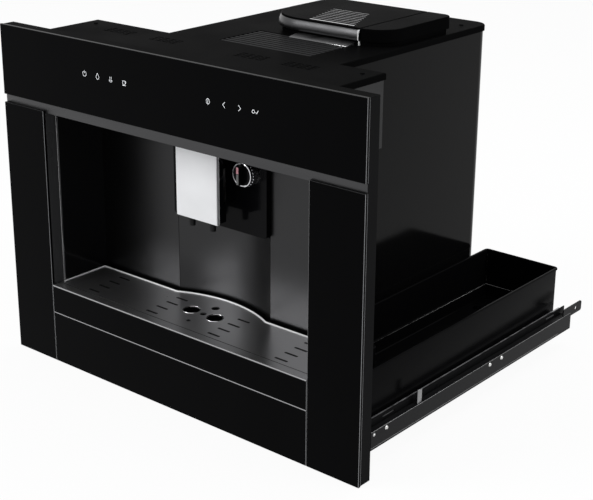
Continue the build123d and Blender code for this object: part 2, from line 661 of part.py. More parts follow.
with BuildPart() as spout_body:
    body_front = SPOUT_FRONT + SPOUT_SHEET
    neck_z = (NECK_BOTTOM, NECK_BOTTOM + NECK_HEIGHT)
    keeper_y = (BLOCK_INSIDE + CLEAR, BLOCK_INSIDE + CLEAR + KEEPER_DEPTH)
    block((-BODY_HALF, BODY_HALF), (body_front, SPOUT_REAR), (HEAD_BOTTOM, SPOUT_Z[1]))
    head_z = (HEAD_BOTTOM, HEAD_BOTTOM + HEAD_HEIGHT)
    block((-BODY_HALF, BODY_HALF), (body_front, SPOUT_REAR + HEAD_STEP), head_z)
    block((-NECK_HALF, NECK_HALF), (SPOUT_REAR, keeper_y[0]), neck_z)
    block((-NECK_HALF - KEEPER, NECK_HALF + KEEPER), keeper_y, neck_z)
    for nozzle_x in NOZZLE_PLACES:
        column(nozzle_x, NOZZLE_Y, NOZZLE_BORE, head_z, Mode.SUBTRACT)
finish(spout_body, "spout_body")

with BuildPart() as spout_nozzles:
    for nozzle_x in NOZZLE_PLACES:
        with Locations((nozzle_x, NOZZLE_Y, HEAD_BOTTOM - NOZZLE_LENGTH)):
            Cone(NOZZLE_TIP, NOZZLE_RADIUS, NOZZLE_LENGTH, align=OUTWARD)
        column(nozzle_x, NOZZLE_Y, NOZZLE_BORE, (HEAD_BOTTOM - NOZZLE_LENGTH, HEAD_BOTTOM), Mode.SUBTRACT)
finish(spout_nozzles, "spout_nozzles")

# ---------------------------------------------------------------- drip drawer


def curve_half(rear_gap):
    """Half width of the curved part of a rear edge that follows the back wall at rear_gap."""
    straight = CAVITY_DEPTH - rear_gap - ARC_CENTRE_Y
    return ((RECESS_RADIUS - rear_gap) ** 2 - straight**2) ** 0.5


def tray_plan(half, front, rear_gap, mode=Mode.ADD):
    """Plan of the tray: straight sides, and a rear edge that follows the back wall at rear_gap."""
    rear = CAVITY_DEPTH - rear_gap
    radius = RECESS_RADIUS - rear_gap
    arc_half = curve_half(rear_gap)
    with BuildLine() as outline:
        Polyline((-arc_half, rear), (-half, rear), (-half, front), (half, front))
        Polyline((half, front), (half, rear), (arc_half, rear))
        ThreePointArc((arc_half, rear), (0, ARC_CENTRE_Y + radius), (-arc_half, rear))
    make_face(outline.edges(), mode=mode)


TUB_HALF = OPENING_HALF - TUB_SIDE_GAP
TUB_INNER_HALF = TUB_HALF - TUB_WALL
TUB_INNER_FRONT = FRAME_FACE + TUB_WALL
TUB_GAP = GRID_REAR_GAP + TUB_REAR_GAP
TUB_INNER_GAP = TUB_GAP + TUB_WALL
SLOT_ROW_PLACES = [FIRST_SLOT_Y + row * SLOT_PITCH for row in range(SLOT_ROWS)]

with BuildPart() as drip_grid:
    with BuildSketch(Plane.XY.offset(GRID_BOTTOM)):
        tray_plan(OPENING_HALF - GRID_SIDE_GAP, GLASS_Y[0], GRID_REAR_GAP)
    extrude(amount=GRID_THICKNESS)
    with BuildSketch(Plane.XY.offset(GRID_BOTTOM)):
        tray_plan(TUB_INNER_HALF - RIM_GAP, TUB_INNER_FRONT + RIM_GAP, TUB_INNER_GAP + RIM_GAP)
        inset = RIM_GAP + GRID_THICKNESS
        tray_plan(TUB_INNER_HALF - inset, TUB_INNER_FRONT + inset, TUB_INNER_GAP + inset, Mode.SUBTRACT)
    extrude(amount=-GRID_RIM)
    with BuildSketch(Plane.XY.offset(GRID_TOP)):
        with Locations(*[(x, y) for x in SLOT_GROUPS for y in SLOT_ROW_PLACES]):
            SlotOverall(SLOT_LENGTH, SLOT_WIDTH)
        with Locations((-DRAIN_SPACING / 2, DRAIN_Y), (DRAIN_SPACING / 2, DRAIN_Y)):
            Circle(DRAIN_RADIUS)
        for y, radius in SMALL_DRAINS:
            with Locations((0, y)):
                Circle(radius)
    extrude(amount=-GRID_THICKNESS, mode=Mode.SUBTRACT)
    for side, sign in SIDES:
        seam_x = around(sign * curve_half(GRID_REAR_GAP), GRID_SEAM / 2)
        block(seam_x, (GLASS_Y[0], SHELF_Y), (GRID_BOTTOM - GRID_RIM, GRID_TOP), Mode.SUBTRACT)
finish(drip_grid, "drip_grid")

with BuildPart() as drip_tub:
    with BuildSketch(Plane.XY.offset(TUB_BOTTOM)):
        tray_plan(TUB_HALF, FRAME_FACE, TUB_GAP)
    extrude(amount=TRAY_GLASS_TOP - TUB_BOTTOM)
    with BuildSketch(Plane.XY.offset(TRAY_GLASS_TOP)):
        tray_plan(TUB_INNER_HALF, TUB_INNER_FRONT, TUB_INNER_GAP)
    extrude(amount=TUB_BOTTOM + TUB_WALL - TRAY_GLASS_TOP, mode=Mode.SUBTRACT)
finish(drip_tub, "drip_tub")

with BuildPart() as tray_trim:
    block((-PLATE_HALF, PLATE_HALF), GLASS_Y, (TRIM_BOTTOM, TRAY_GLASS_BOTTOM))
finish(tray_trim, "tray_trim")

# ---------------------------------------------------------------- grounds container
FRONT_RADIUS = RECESS_RADIUS + PANEL_SHEET
FRONT_ARC_Y = ARC_CENTRE_Y + FRONT_RADIUS
BOX_FRONT = FRONT_ARC_Y + GROUNDS_WALL
BOX_REAR = BOX_FRONT + GROUNDS_LENGTH
GROUNDS_TOP = BLOCK_BOTTOM - GROUNDS_DROP


def edge_y(radius):
    """Y at which an arc of this radius about the recess centre meets the panel's side edge."""
    return ARC_CENTRE_Y + (radius**2 - BLOCK_HALF**2) ** 0.5


with BuildPart() as grounds_front:
    with BuildSketch(Plane.XY.offset(GROUNDS_BOTTOM)):
        with BuildLine():
            ends = [(side * BLOCK_HALF, edge_y(RECESS_RADIUS)) for side in (-1, 1)]
            rear_ends = [(side * BLOCK_HALF, edge_y(FRONT_RADIUS)) for side in (-1, 1)]
            ThreePointArc(ends[0], (0, ARC_CENTRE_Y + RECESS_RADIUS), ends[1])
            Line(ends[1], rear_ends[1])
            ThreePointArc(rear_ends[1], (0, FRONT_ARC_Y), rear_ends[0])
            Line(rear_ends[0], ends[0])
        make_face()
    extrude(amount=BLOCK_BOTTOM - PANEL_TOP_GAP - GROUNDS_BOTTOM)
finish(grounds_front, "grounds_front")

with BuildPart() as grounds_container:
    with BuildSketch(Plane.XY.offset(GROUNDS_BOTTOM)):
        with BuildLine():
            ThreePointArc(rear_ends[1], (0, FRONT_ARC_Y), rear_ends[0])
            Polyline(rear_ends[0], (-BLOCK_HALF, BOX_FRONT), (BLOCK_HALF, BOX_FRONT), rear_ends[1])
        make_face()
    extrude(amount=GROUNDS_TOP - GROUNDS_BOTTOM)
    box_z = (GROUNDS_BOTTOM, GROUNDS_TOP)
    inner_half = GROUNDS_HALF - GROUNDS_WALL
    inner_z = (GROUNDS_BOTTOM + GROUNDS_WALL, box_z[1])
    block((-GROUNDS_HALF, GROUNDS_HALF), (BOX_FRONT, BOX_REAR), box_z)
    block((-inner_half, inner_half), (BOX_FRONT, BOX_REAR - GROUNDS_WALL), inner_z, Mode.SUBTRACT)
finish(grounds_container, "grounds_container")

# ---------------------------------------------------------------- front housing and core panels


def core_plan(outset, front, mode=Mode.ADD):
    """Plan of the rear core from front to its rounded rear corners, grown by outset at sides and rear."""
    left = CORE_LEFT - outset
    right = CORE_RIGHT + outset
    rear = CORE_REAR + outset
    corner_left = CORE_CORNER_LEFT + outset
    corner_right = CORE_CORNER_RIGHT + outset
    with BuildLine() as outline:
        Polyline((left, rear - corner_left), (left, front), (right, front), (right, rear - corner_right))
        RadiusArc((right, rear - corner_right), (right - corner_right, rear), -corner_right)
        Line((right - corner_right, rear), (left + corner_left, rear))
        RadiusArc((left + corner_left, rear), (left, rear - corner_left), -corner_left)
    make_face(outline.edges(), mode=mode)


with BuildPart() as front_housing:
    block((FRONT_LEFT, FRONT_RIGHT), (0, FRONT_DEPTH), (CEILING_TOP, COVER_BOTTOM))
    inner_x = (FRONT_LEFT + PANEL, FRONT_RIGHT - PANEL)
    inner_z = (CEILING_TOP + PANEL, COVER_BOTTOM)
    block(inner_x, (0, FRONT_DEPTH - PANEL), inner_z, Mode.SUBTRACT)
    block((CORE_LEFT, CORE_RIGHT), (FRONT_DEPTH - PANEL, FRONT_DEPTH), inner_z, Mode.SUBTRACT)
finish(front_housing, "front_housing")

LEFT_SEAM = CORE_LEFT + CORE_CORNER_LEFT + PANEL_RETURN
RIGHT_SEAM = CORE_RIGHT - CORE_CORNER_RIGHT - PANEL_RETURN
CORE_PANELS = {
    "core_left_panel": (CORE_LEFT, LEFT_SEAM),
    "core_rear_panel": (LEFT_SEAM, RIGHT_SEAM),
    "core_right_panel": (RIGHT_SEAM, CORE_RIGHT),
}
CORE_STAGES = ((CAVITY_BACK, BASE_TOP, CEILING_TOP), (FRONT_DEPTH, CEILING_TOP, COVER_BOTTOM))
INLET_BODY_X = around(INLET_X, INLET_HALF[0] + INLET_WALL)
INLET_BODY_Z = around(INLET_Z, INLET_HALF[1] + INLET_WALL)
PANEL_Y = (CORE_REAR - PANEL, CORE_REAR)

for name, span in CORE_PANELS.items():
    with BuildPart() as core_panel:
        for front, low, high in CORE_STAGES:
            with BuildSketch(Plane.XY.offset(low)):
                core_plan(0, front)
                core_plan(-PANEL, front, Mode.SUBTRACT)
            extrude(amount=high - low)
        middle = ((span[0] + span[1]) / 2, CORE_REAR / 2, BODY_TOP / 2)
        with Locations(middle):
            Box(span[1] - span[0], CORE_REAR, BODY_TOP, mode=Mode.INTERSECT)
        if name == "core_rear_panel":
            with Locations(Plane((middle[0], PANEL_Y[0], REAR_VENT_Z), x_dir=(1, 0, 0), z_dir=(0, 1, 0))):
                with GridLocations(*REAR_VENT_PITCH, *REAR_VENT_COUNT):
                    Box(*REAR_VENT, 2 * PANEL, mode=Mode.SUBTRACT)
            hole_x = (INLET_BODY_X[0] - FIT, INLET_BODY_X[1] + FIT)
            hole_z = (INLET_BODY_Z[0] - FIT, INLET_BODY_Z[1] + FIT)
            block(hole_x, PANEL_Y, hole_z, Mode.SUBTRACT)
        if name == "core_right_panel":
            hose_x = (CORE_RIGHT - PANEL, CORE_RIGHT)
            crosspin(OUTLET_Y, HOSE_Z, HOSE_RADIUS + HOSE_HOLE_GAP, hose_x, Mode.SUBTRACT)
    finish(core_panel, name)

# ---------------------------------------------------------------- top cover with its ribbed insert
COVER_Z = (COVER_BOTTOM, BODY_TOP)
HOPPER_X = (HOPPER_LEFT, HOPPER_RIGHT)
HOPPER_Y = (HOPPER_FRONT, HOPPER_REAR)
CHUTE_X = (CHUTE_LEFT, CHUTE_RIGHT)
CHUTE_Y = (CHUTE_FRONT, CHUTE_REAR)


def grown(span, amount):
    """Span made longer by amount at both ends."""
    return (span[0] - amount, span[1] + amount)


def body_plan(outset):
    """Plan of front housing and core together, grown by outset everywhere but at the fascia."""
    with Locations(((FRONT_LEFT + FRONT_RIGHT) / 2, (FRONT_DEPTH + outset) / 2)):
        Rectangle(FRONT_RIGHT - FRONT_LEFT + 2 * outset, FRONT_DEPTH + outset)
    core_plan(outset, 0)


with BuildPart() as top_cover:
    with BuildSketch(Plane.XY.offset(COVER_BOTTOM)):
        body_plan(COVER_OVERHANG)
    extrude(amount=COVER)
    top_edges = top_cover.faces().sort_by(Axis.Z)[-1].edges()
    fillet(top_edges - top_edges.group_by(Axis.Y)[0], COVER_EDGE)
    with BuildSketch(Plane.XY.offset(COVER_BOTTOM)):
        body_plan(-COVER_RIM)
    extrude(amount=COVER - COVER_WALL, mode=Mode.SUBTRACT)
    block((RIB_LEFT, RIB_RIGHT), (RIB_FRONT, RIB_REAR), COVER_Z, Mode.SUBTRACT)
    block(grown(HOPPER_X, FIT), grown(HOPPER_Y, FIT), COVER_Z, Mode.SUBTRACT)
    block(grown(CHUTE_X, FIT), grown(CHUTE_Y, FIT), COVER_Z, Mode.SUBTRACT)
    column(DIAL_X, DIAL_Y, DIAL_STEM + RUNNING, COVER_Z, Mode.SUBTRACT)
    for patch_x in VENT_PATCHES:
        with Locations((patch_x, VENT_Y, BODY_TOP)):
            with GridLocations(*VENT_PITCH, *VENT_COUNT):
                Box(*VENT_SLOT, 2 * COVER, mode=Mode.SUBTRACT)
finish(top_cover, "top_cover")

with BuildPart() as ribbed_insert:
    insert_x = grown((RIB_LEFT, RIB_RIGHT), INSERT_LAP)
    insert_y = grown((RIB_FRONT, RIB_REAR), INSERT_LAP)
    block(insert_x, insert_y, (COVER_CEILING - INSERT_SHEET, COVER_CEILING))
    pitch = (RIB_REAR - RIB_FRONT) / RIB_COUNT
    for rib in range(RIB_COUNT):
        rib_y = around(RIB_FRONT + (rib + 0.5) * pitch, RIB_WIDTH / 2)
        block((RIB_LEFT + FIT, RIB_RIGHT - FIT), rib_y, (COVER_CEILING, BODY_TOP - RIB_SINK))
finish(ribbed_insert, "ribbed_insert")

# ---------------------------------------------------------------- hopper lids and their plinth


def lid_plan(inset, mode=Mode.ADD):
    """Plan of both lids together, drawn in by inset, each corner with its own radius."""
    left = LID_LEFT + inset
    right = LID_RIGHT - inset
    front = LID_FRONT + inset
    rear = LID_REAR - inset
    front_left = LID_CORNER_FRONT_LEFT - inset
    front_right = LID_CORNER_FRONT_RIGHT - inset
    rear_right = LID_CORNER_REAR_RIGHT - inset
    rear_left = LID_CORNER_REAR_LEFT - inset
    with BuildLine() as outline:
        Line((left + front_left, front), (right - front_right, front))
        RadiusArc((right - front_right, front), (right, front + front_right), -front_right)
        Line((right, front + front_right), (right, rear - rear_right))
        RadiusArc((right, rear - rear_right), (right - rear_right, rear), -rear_right)
        Line((right - rear_right, rear), (left + rear_left, rear))
        RadiusArc((left + rear_left, rear), (left, rear - rear_left), -rear_left)
        Line((left, rear - rear_left), (left, front + front_left))
        RadiusArc((left, front + front_left), (left + front_left, front), -front_left)
    make_face(outline.edges(), mode=mode)


ALL_HINGES = BEAN_HINGES + POWDER_HINGES
LUG_Y = around(HINGE_Y, HINGE_LUG_RADIUS)
PLINTH_MIDDLE = (LID_LEFT + LID_RIGHT) / 2
PLINTH_REAR = LID_REAR - PLINTH_REAR_INSET
PLINTH_REACH = (2 * (LID_RIGHT - LID_LEFT), LID_REAR)
BELOW = (Align.CENTER, Align.MAX)

with BuildPart() as lid_plinth:
    with BuildSketch(Plane.XY.offset(BODY_TOP)):
        lid_plan(PLINTH_INSET)
        with Locations((PLINTH_MIDDLE, PLINTH_REAR)):
            Rectangle(*PLINTH_REACH, align=BELOW, mode=Mode.INTERSECT)
    extrude(amount=PLINTH_HEIGHT)
    with BuildSketch(Plane.XY.offset(BODY_TOP)):
        lid_plan(PLINTH_INSET + PLINTH_WALL)
        with Locations((PLINTH_MIDDLE, PLINTH_REAR - PLINTH_WALL)):
            Rectangle(*PLINTH_REACH, align=BELOW, mode=Mode.INTERSECT)
    extrude(amount=PLINTH_HEIGHT, mode=Mode.SUBTRACT)
    for hinge_x in ALL_HINGES:
        lug_x = around(hinge_x, HINGE_LUG / 2)
        foot_y = (PLINTH_REAR - PLINTH_WALL, LUG_Y[1])
        block(lug_x, foot_y, (BODY_TOP, BODY_TOP + HINGE_BASE))
        block(lug_x, LUG_Y, (BODY_TOP, HINGE_Z))
        crosspin(HINGE_Y, HINGE_Z, HINGE_LUG_RADIUS, lug_x)
        crosspin(HINGE_Y, HINGE_Z, HINGE_PIN + RUNNING, lug_x, Mode.SUBTRACT)
finish(lid_plinth, "lid_plinth")


def lid(name, span, hinges):
    """Hollow lid over one span of the plan, hung on pins between cheeks at its rear."""
    span_half = (span[1] - span[0]) / 2
    middle = (span[0] + span_half, 0)
    with BuildPart() as shell:
        with BuildSketch(Plane.XY.offset(LID_BOTTOM)):
            lid_plan(0)
            with Locations(middle):
                Rectangle(2 * span_half, 2 * LID_REAR, mode=Mode.INTERSECT)
        extrude(amount=LID_HEIGHT)
        fillet(shell.faces().sort_by(Axis.Z)[-1].edges(), LID_EDGE)
        with BuildSketch(Plane.XY.offset(LID_BOTTOM)):
            lid_plan(LID_WALL)
            with Locations(middle):
                Rectangle(2 * (span_half - LID_WALL), 2 * LID_REAR, mode=Mode.INTERSECT)
        extrude(amount=LID_HEIGHT - LID_WALL, mode=Mode.SUBTRACT)
        for hinge_x in hinges:
            gap_x = around(hinge_x, HINGE_LUG / 2 + CLEAR)
            inner_z = (LID_BOTTOM + CLEAR, LID_TOP - LID_WALL)
            block(grown(gap_x, HINGE_CHEEK), (LUG_Y[0], LID_REAR - LID_EDGE), inner_z)
            block(gap_x, (LUG_Y[0], LID_REAR), (LID_BOTTOM, LID_TOP - LID_WALL), Mode.SUBTRACT)
            crosspin(HINGE_Y, HINGE_Z, HINGE_PIN, gap_x)
    finish(shell, name)


lid("bean_lid", (LID_LEFT, LID_SPLIT), BEAN_HINGES)
lid("powder_lid", (LID_SPLIT + LID_JOINT, LID_RIGHT), POWDER_HINGES)

# ---------------------------------------------------------------- bean hopper with the powder chute
FLANGE_Z = (BODY_TOP, BODY_TOP + HOPPER_FLANGE)
HOPPER_MIDDLE = ((HOPPER_LEFT + HOPPER_RIGHT) / 2, (HOPPER_FRONT + HOPPER_REAR) / 2)
GRINDER_X = HOPPER_MIDDLE[0]


def funnel(inset, mode=Mode.ADD):
    """Funnel from the throat circle up to the hopper's rectangle, drawn in by inset."""
    width = HOPPER_RIGHT - HOPPER_LEFT - 2 * inset
    depth = HOPPER_REAR - HOPPER_FRONT - 2 * inset
    with BuildSketch(Plane.XY.offset(THROAT_TOP)) as throat:
        with Locations((GRINDER_X, GRINDER_Y)):
            Circle(THROAT_RADIUS + HOPPER_WALL - inset)
    with BuildSketch(Plane.XY.offset(HOPPER_SHOULDER)) as mouth:
        with Locations(HOPPER_MIDDLE):
            Rectangle(width, depth)
    loft([throat.sketch, mouth.sketch], mode=mode)


with BuildPart() as bean_hopper:
    funnel(0)
    block(HOPPER_X, HOPPER_Y, (HOPPER_SHOULDER, BODY_TOP))
    column(GRINDER_X, GRINDER_Y, THROAT_RADIUS + HOPPER_WALL, (GRINDER_TOP, THROAT_TOP))
    block(CHUTE_X, CHUTE_Y, (BODY_TOP - CHUTE_LENGTH, BODY_TOP))
    block(grown(HOPPER_X, HOPPER_LAP), grown(HOPPER_Y, HOPPER_LAP), FLANGE_Z)
    block((HOPPER_RIGHT, CHUTE_RIGHT + HOPPER_LAP), grown(CHUTE_Y, HOPPER_LAP), FLANGE_Z)
    funnel(HOPPER_WALL, Mode.SUBTRACT)
    hopper_z = (HOPPER_SHOULDER, FLANGE_Z[1])
    block(grown(HOPPER_X, -HOPPER_WALL), grown(HOPPER_Y, -HOPPER_WALL), hopper_z, Mode.SUBTRACT)
    column(GRINDER_X, GRINDER_Y, THROAT_RADIUS, (GRINDER_TOP, THROAT_TOP), Mode.SUBTRACT)
    chute_z = (BODY_TOP - CHUTE_LENGTH, FLANGE_Z[1])
    block(grown(CHUTE_X, -HOPPER_WALL), grown(CHUTE_Y, -HOPPER_WALL), chute_z, Mode.SUBTRACT)
finish(bean_hopper, "bean_hopper")

# ---------------------------------------------------------------- grinder
BURR_BOTTOM = GRINDER_BOTTOM + GRINDER_FLOOR + BURR_LIFT
SHAFT_END = GRINDER_BOTTOM - SHAFT_ENTRY

with BuildPart() as grinder_housing:
    column(GRINDER_X, GRINDER_Y, GRINDER_RADIUS, (GRINDER_BOTTOM, GRINDER_TOP))
    plate_z = (GRINDER_BOTTOM, GRINDER_BOTTOM + GRINDER_PLATE)
    block((CORE_LEFT + PANEL, CORE_RIGHT - PANEL), around(GRINDER_Y, GRINDER_PLATE_HALF), plate_z)
    chamber_z = (GRINDER_BOTTOM + GRINDER_FLOOR, GRINDER_TOP)
    column(GRINDER_X, GRINDER_Y, THROAT_RADIUS, chamber_z, Mode.SUBTRACT)
    column(GRINDER_X, GRINDER_Y, SHAFT_RADIUS + RUNNING, (GRINDER_BOTTOM, GRINDER_TOP), Mode.SUBTRACT)
finish(grinder_housing, "grinder_housing")

with BuildPart() as grinder_motor:
    column(GRINDER_X, GRINDER_Y, MOTOR_RADIUS, (GRINDER_BOTTOM - MOTOR_HEIGHT, GRINDER_BOTTOM))
    bore_z = (SHAFT_END - CLEAR, GRINDER_BOTTOM)
    column(GRINDER_X, GRINDER_Y, SHAFT_RADIUS + RUNNING, bore_z, Mode.SUBTRACT)
finish(grinder_motor, "grinder_motor")

with BuildPart() as lower_burr:
    column(GRINDER_X, GRINDER_Y, BURR_RADIUS, (BURR_BOTTOM, BURR_BOTTOM + BURR_HEIGHT))
    column(GRINDER_X, GRINDER_Y, SHAFT_RADIUS, (SHAFT_END, BURR_BOTTOM))
finish(lower_burr, "lower_burr")

with BuildPart() as grind_dial:
    column(DIAL_X, DIAL_Y, DIAL_RADIUS, (BODY_TOP + CLEAR, BODY_TOP + CLEAR + DIAL_HEIGHT))
    column(DIAL_X, DIAL_Y, DIAL_STEM, (BODY_TOP + CLEAR - DIAL_STEM_LENGTH, BODY_TOP + CLEAR))
finish(grind_dial, "grind_dial")

# ---------------------------------------------------------------- brewing unit
BREW_Y = (BREW_FRONT, BREW_FRONT + BREW_DEPTH)
BREW_MIDDLE = BREW_FRONT + BREW_DEPTH / 2
BREW_Z = (SHELF_TOP, SHELF_TOP + BREW_HEIGHT)
CHAMBER_FLOOR = SHELF_TOP + BREW_FLOOR
PISTON_Z = (CHAMBER_FLOOR + PISTON_LIFT, CHAMBER_FLOOR + PISTON_LIFT + PISTON_HEIGHT)

with BuildPart() as brew_unit:
    block((-BREW_HALF, BREW_HALF), BREW_Y, BREW_Z)
    column(0, BREW_MIDDLE, BREW_BORE, (CHAMBER_FLOOR, BREW_Z[1]), Mode.SUBTRACT)
    rod_z = (PISTON_Z[0] - ROD_LENGTH - CLEAR, CHAMBER_FLOOR)
    column(0, BREW_MIDDLE, ROD_RADIUS + RUNNING, rod_z, Mode.SUBTRACT)
finish(brew_unit, "brew_unit")

with BuildPart() as brew_piston:
    column(0, BREW_MIDDLE, BREW_BORE - RUNNING, PISTON_Z)
    column(0, BREW_MIDDLE, ROD_RADIUS, (PISTON_Z[0] - ROD_LENGTH, PISTON_Z[0]))
finish(brew_piston, "brew_piston")

# ---------------------------------------------------------------- boiler, pump, control board, power inlet
PANEL_INSIDE = CORE_LEFT + PANEL

with BuildPart() as boiler:
    column(BOILER_X, BOILER_Y, BOILER_RADIUS, (BOILER_BOTTOM, BOILER_BOTTOM + BOILER_HEIGHT))
    bracket_z = around(BOILER_BOTTOM + BOILER_HEIGHT / 2, BOILER_BRACKET[1] / 2)
    block((PANEL_INSIDE, BOILER_X), around(BOILER_Y, BOILER_BRACKET[0] / 2), bracket_z)
finish(boiler, "boiler")

PUMP_REAR = PUMP_FRONT + PUMP_LENGTH
with BuildPart() as pump:
    spindle(PUMP_X, BASE_TOP + PUMP_HEIGHT / 2, PUMP_RADIUS, (PUMP_FRONT, PUMP_REAR))
    for cap_y in ((PUMP_FRONT, PUMP_FRONT + PUMP_CAP), (PUMP_REAR - PUMP_CAP, PUMP_REAR)):
        block(around(PUMP_X, PUMP_CAP_HALF), cap_y, (BASE_TOP, BASE_TOP + PUMP_HEIGHT))
    spindle(PUMP_X, HOSE_Z, NIPPLE_RADIUS, (PUMP_REAR, PUMP_REAR + NIPPLE_LENGTH))
finish(pump, "pump")

with BuildPart() as control_board:
    board_x = (PANEL_INSIDE + STANDOFF, PANEL_INSIDE + STANDOFF + BOARD)
    block(board_x, MAIN_BOARD_Y, MAIN_BOARD_Z)
    for post_y in grown(MAIN_BOARD_Y, -STANDOFF_EDGE):
        for post_z in grown(MAIN_BOARD_Z, -STANDOFF_EDGE):
            crosspin(post_y, post_z, STANDOFF_RADIUS, (PANEL_INSIDE, board_x[0]))
    part_z = around((MAIN_BOARD_Z[0] + MAIN_BOARD_Z[1]) / 2, PART[2] / 2)
    for part_y in PART_PLACES:
        block((board_x[1], board_x[1] + PART[0]), around(part_y, PART[1] / 2), part_z)
finish(control_board, "control_board")

with BuildPart() as power_inlet:
    body_y = (CORE_REAR - INLET_DEPTH, CORE_REAR)
    flange_y = (CORE_REAR, CORE_REAR + INLET_FLANGE_SHEET)
    socket_y = (flange_y[1] - INLET_SOCKET, flange_y[1])
    block(INLET_BODY_X, body_y, INLET_BODY_Z)
    block(grown(INLET_BODY_X, INLET_FLANGE), flange_y, grown(INLET_BODY_Z, INLET_FLANGE))
    block(around(INLET_X, INLET_HALF[0]), socket_y, around(INLET_Z, INLET_HALF[1]), Mode.SUBTRACT)
    for contact_x in (INLET_X - CONTACT_SPACING, INLET_X, INLET_X + CONTACT_SPACING):
        contact_y = (socket_y[0], socket_y[0] + CONTACT[1])
        block(around(contact_x, CONTACT[0] / 2), contact_y, around(INLET_Z, CONTACT[2] / 2))
finish(power_inlet, "power_inlet")

# ---------------------------------------------------------------- water tank, its socket and the hose


def tank_plan(inset):
    """L-shaped plan of the tank with rounded corners, drawn in by inset."""
    left = TANK_LEFT + inset
    right = TANK_RIGHT - inset
    front = TANK_FRONT + inset
    nose_left = TANK_NOSE_LEFT + inset
    nose_front = TANK_NOSE_FRONT + inset
    rear = TANK_REAR - inset
    with BuildLine() as outline:
        FilletPolyline(
            (nose_left, nose_front),
            (right, nose_front),
            (right, rear),
            (left, rear),
            (left, front),
            (nose_left, front),
            radius=TANK_CORNER,
            close=True,
        )
    make_face(outline.edges())


with BuildPart() as water_tank:
    with BuildSketch(Plane.XY.offset(TANK_BOTTOM)):
        tank_plan(TANK_RIM)
    extrude(amount=TANK_TOP - TANK_BOTTOM)
    with BuildSketch(Plane.XY.offset(TANK_TOP)):
        tank_plan(0)
    extrude(amount=-TANK_RIM_HEIGHT)
    with BuildSketch(Plane.XY.offset(TANK_TOP)):
        tank_plan(TANK_RIM + TANK_WALL)
    extrude(amount=TANK_LEDGE - TANK_TOP, mode=Mode.SUBTRACT)
    with BuildSketch(Plane.XY.offset(TANK_LEDGE)):
        tank_plan(TANK_RIM + TANK_WALL + TANK_LEDGE_WIDTH)
    extrude(amount=TANK_BOTTOM + TANK_WALL - TANK_LEDGE, mode=Mode.SUBTRACT)
    column(OUTLET_X, OUTLET_Y, OUTLET_RADIUS, (TANK_BOTTOM, TANK_BOTTOM + TANK_WALL), Mode.SUBTRACT)
finish(water_tank, "water_tank")

with BuildPart() as tank_outlet:
    outlet_z = (TANK_BOTTOM - OUTLET_REACH, TANK_BOTTOM + TANK_WALL)
    column(OUTLET_X, OUTLET_Y, OUTLET_RADIUS, outlet_z)
    column(OUTLET_X, OUTLET_Y, OUTLET_BORE, outlet_z, Mode.SUBTRACT)
finish(tank_outlet, "tank_outlet")

SOCKET_SIDE = OUTLET_X - SOCKET_RADIUS
with BuildPart() as tank_socket:
    column(OUTLET_X, OUTLET_Y, SOCKET_RADIUS, (BASE_TOP, TANK_BOTTOM - CLEAR))
    crosspin(OUTLET_Y, HOSE_Z, NIPPLE_RADIUS, (SOCKET_SIDE - NIPPLE_LENGTH, OUTLET_X))
    bore_z = (BASE_TOP + SOCKET_FLOOR, TANK_BOTTOM - CLEAR)
    column(OUTLET_X, OUTLET_Y, OUTLET_RADIUS + CLEAR, bore_z, Mode.SUBTRACT)
finish(tank_socket, "tank_socket")

with BuildPart() as water_hose:
    with BuildLine(Plane.XY.offset(HOSE_Z)) as hose_route:
        FilletPolyline(
            (SOCKET_SIDE - CLEAR, OUTLET_Y),
            (PUMP_X, OUTLET_Y),
            (PUMP_X, PUMP_REAR),
            radius=HOSE_BEND,
        )
    with BuildSketch(Plane((SOCKET_SIDE - CLEAR, OUTLET_Y, HOSE_Z), x_dir=(0, 1, 0), z_dir=(-1, 0, 0))):
        Circle(HOSE_RADIUS)
        Circle(HOSE_BORE, mode=Mode.SUBTRACT)
    sweep(path=hose_route.wire())
finish(water_hose, "water_hose")
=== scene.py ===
"""Built-in coffee machine on pull-out rails: finishes, fine parts, studio and camera."""

from __future__ import annotations

import json
import logging
import math
from abc import ABC, abstractmethod
from dataclasses import dataclass, field
from enum import Enum
from functools import cache
from typing import Any, Callable, ClassVar, Sequence

import bmesh
import bpy
from mathutils import Matrix, Vector

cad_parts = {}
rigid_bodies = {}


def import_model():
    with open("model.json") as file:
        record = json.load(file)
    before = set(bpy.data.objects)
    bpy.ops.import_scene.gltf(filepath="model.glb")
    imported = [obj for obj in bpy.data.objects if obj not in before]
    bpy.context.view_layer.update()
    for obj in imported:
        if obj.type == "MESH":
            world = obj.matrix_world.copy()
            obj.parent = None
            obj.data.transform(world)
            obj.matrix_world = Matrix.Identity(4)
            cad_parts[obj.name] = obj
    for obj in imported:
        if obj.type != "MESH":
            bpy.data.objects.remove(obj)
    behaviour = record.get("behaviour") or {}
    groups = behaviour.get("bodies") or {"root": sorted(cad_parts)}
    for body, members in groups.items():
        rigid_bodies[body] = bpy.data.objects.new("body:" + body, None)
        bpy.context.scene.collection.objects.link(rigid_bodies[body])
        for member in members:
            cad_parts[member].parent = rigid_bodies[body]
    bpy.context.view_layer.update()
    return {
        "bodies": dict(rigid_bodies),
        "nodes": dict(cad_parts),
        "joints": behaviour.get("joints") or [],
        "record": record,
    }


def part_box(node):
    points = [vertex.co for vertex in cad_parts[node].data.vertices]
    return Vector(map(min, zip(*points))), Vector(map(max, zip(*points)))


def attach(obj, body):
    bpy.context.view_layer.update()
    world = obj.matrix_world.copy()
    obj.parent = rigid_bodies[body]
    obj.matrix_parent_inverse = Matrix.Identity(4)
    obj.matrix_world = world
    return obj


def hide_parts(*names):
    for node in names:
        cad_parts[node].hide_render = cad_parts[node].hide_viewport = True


LOG = logging.getLogger("coffee_machine")
MM = 0.001
MERGE = 0.0005  # points nearer than this, in millimetres, become one
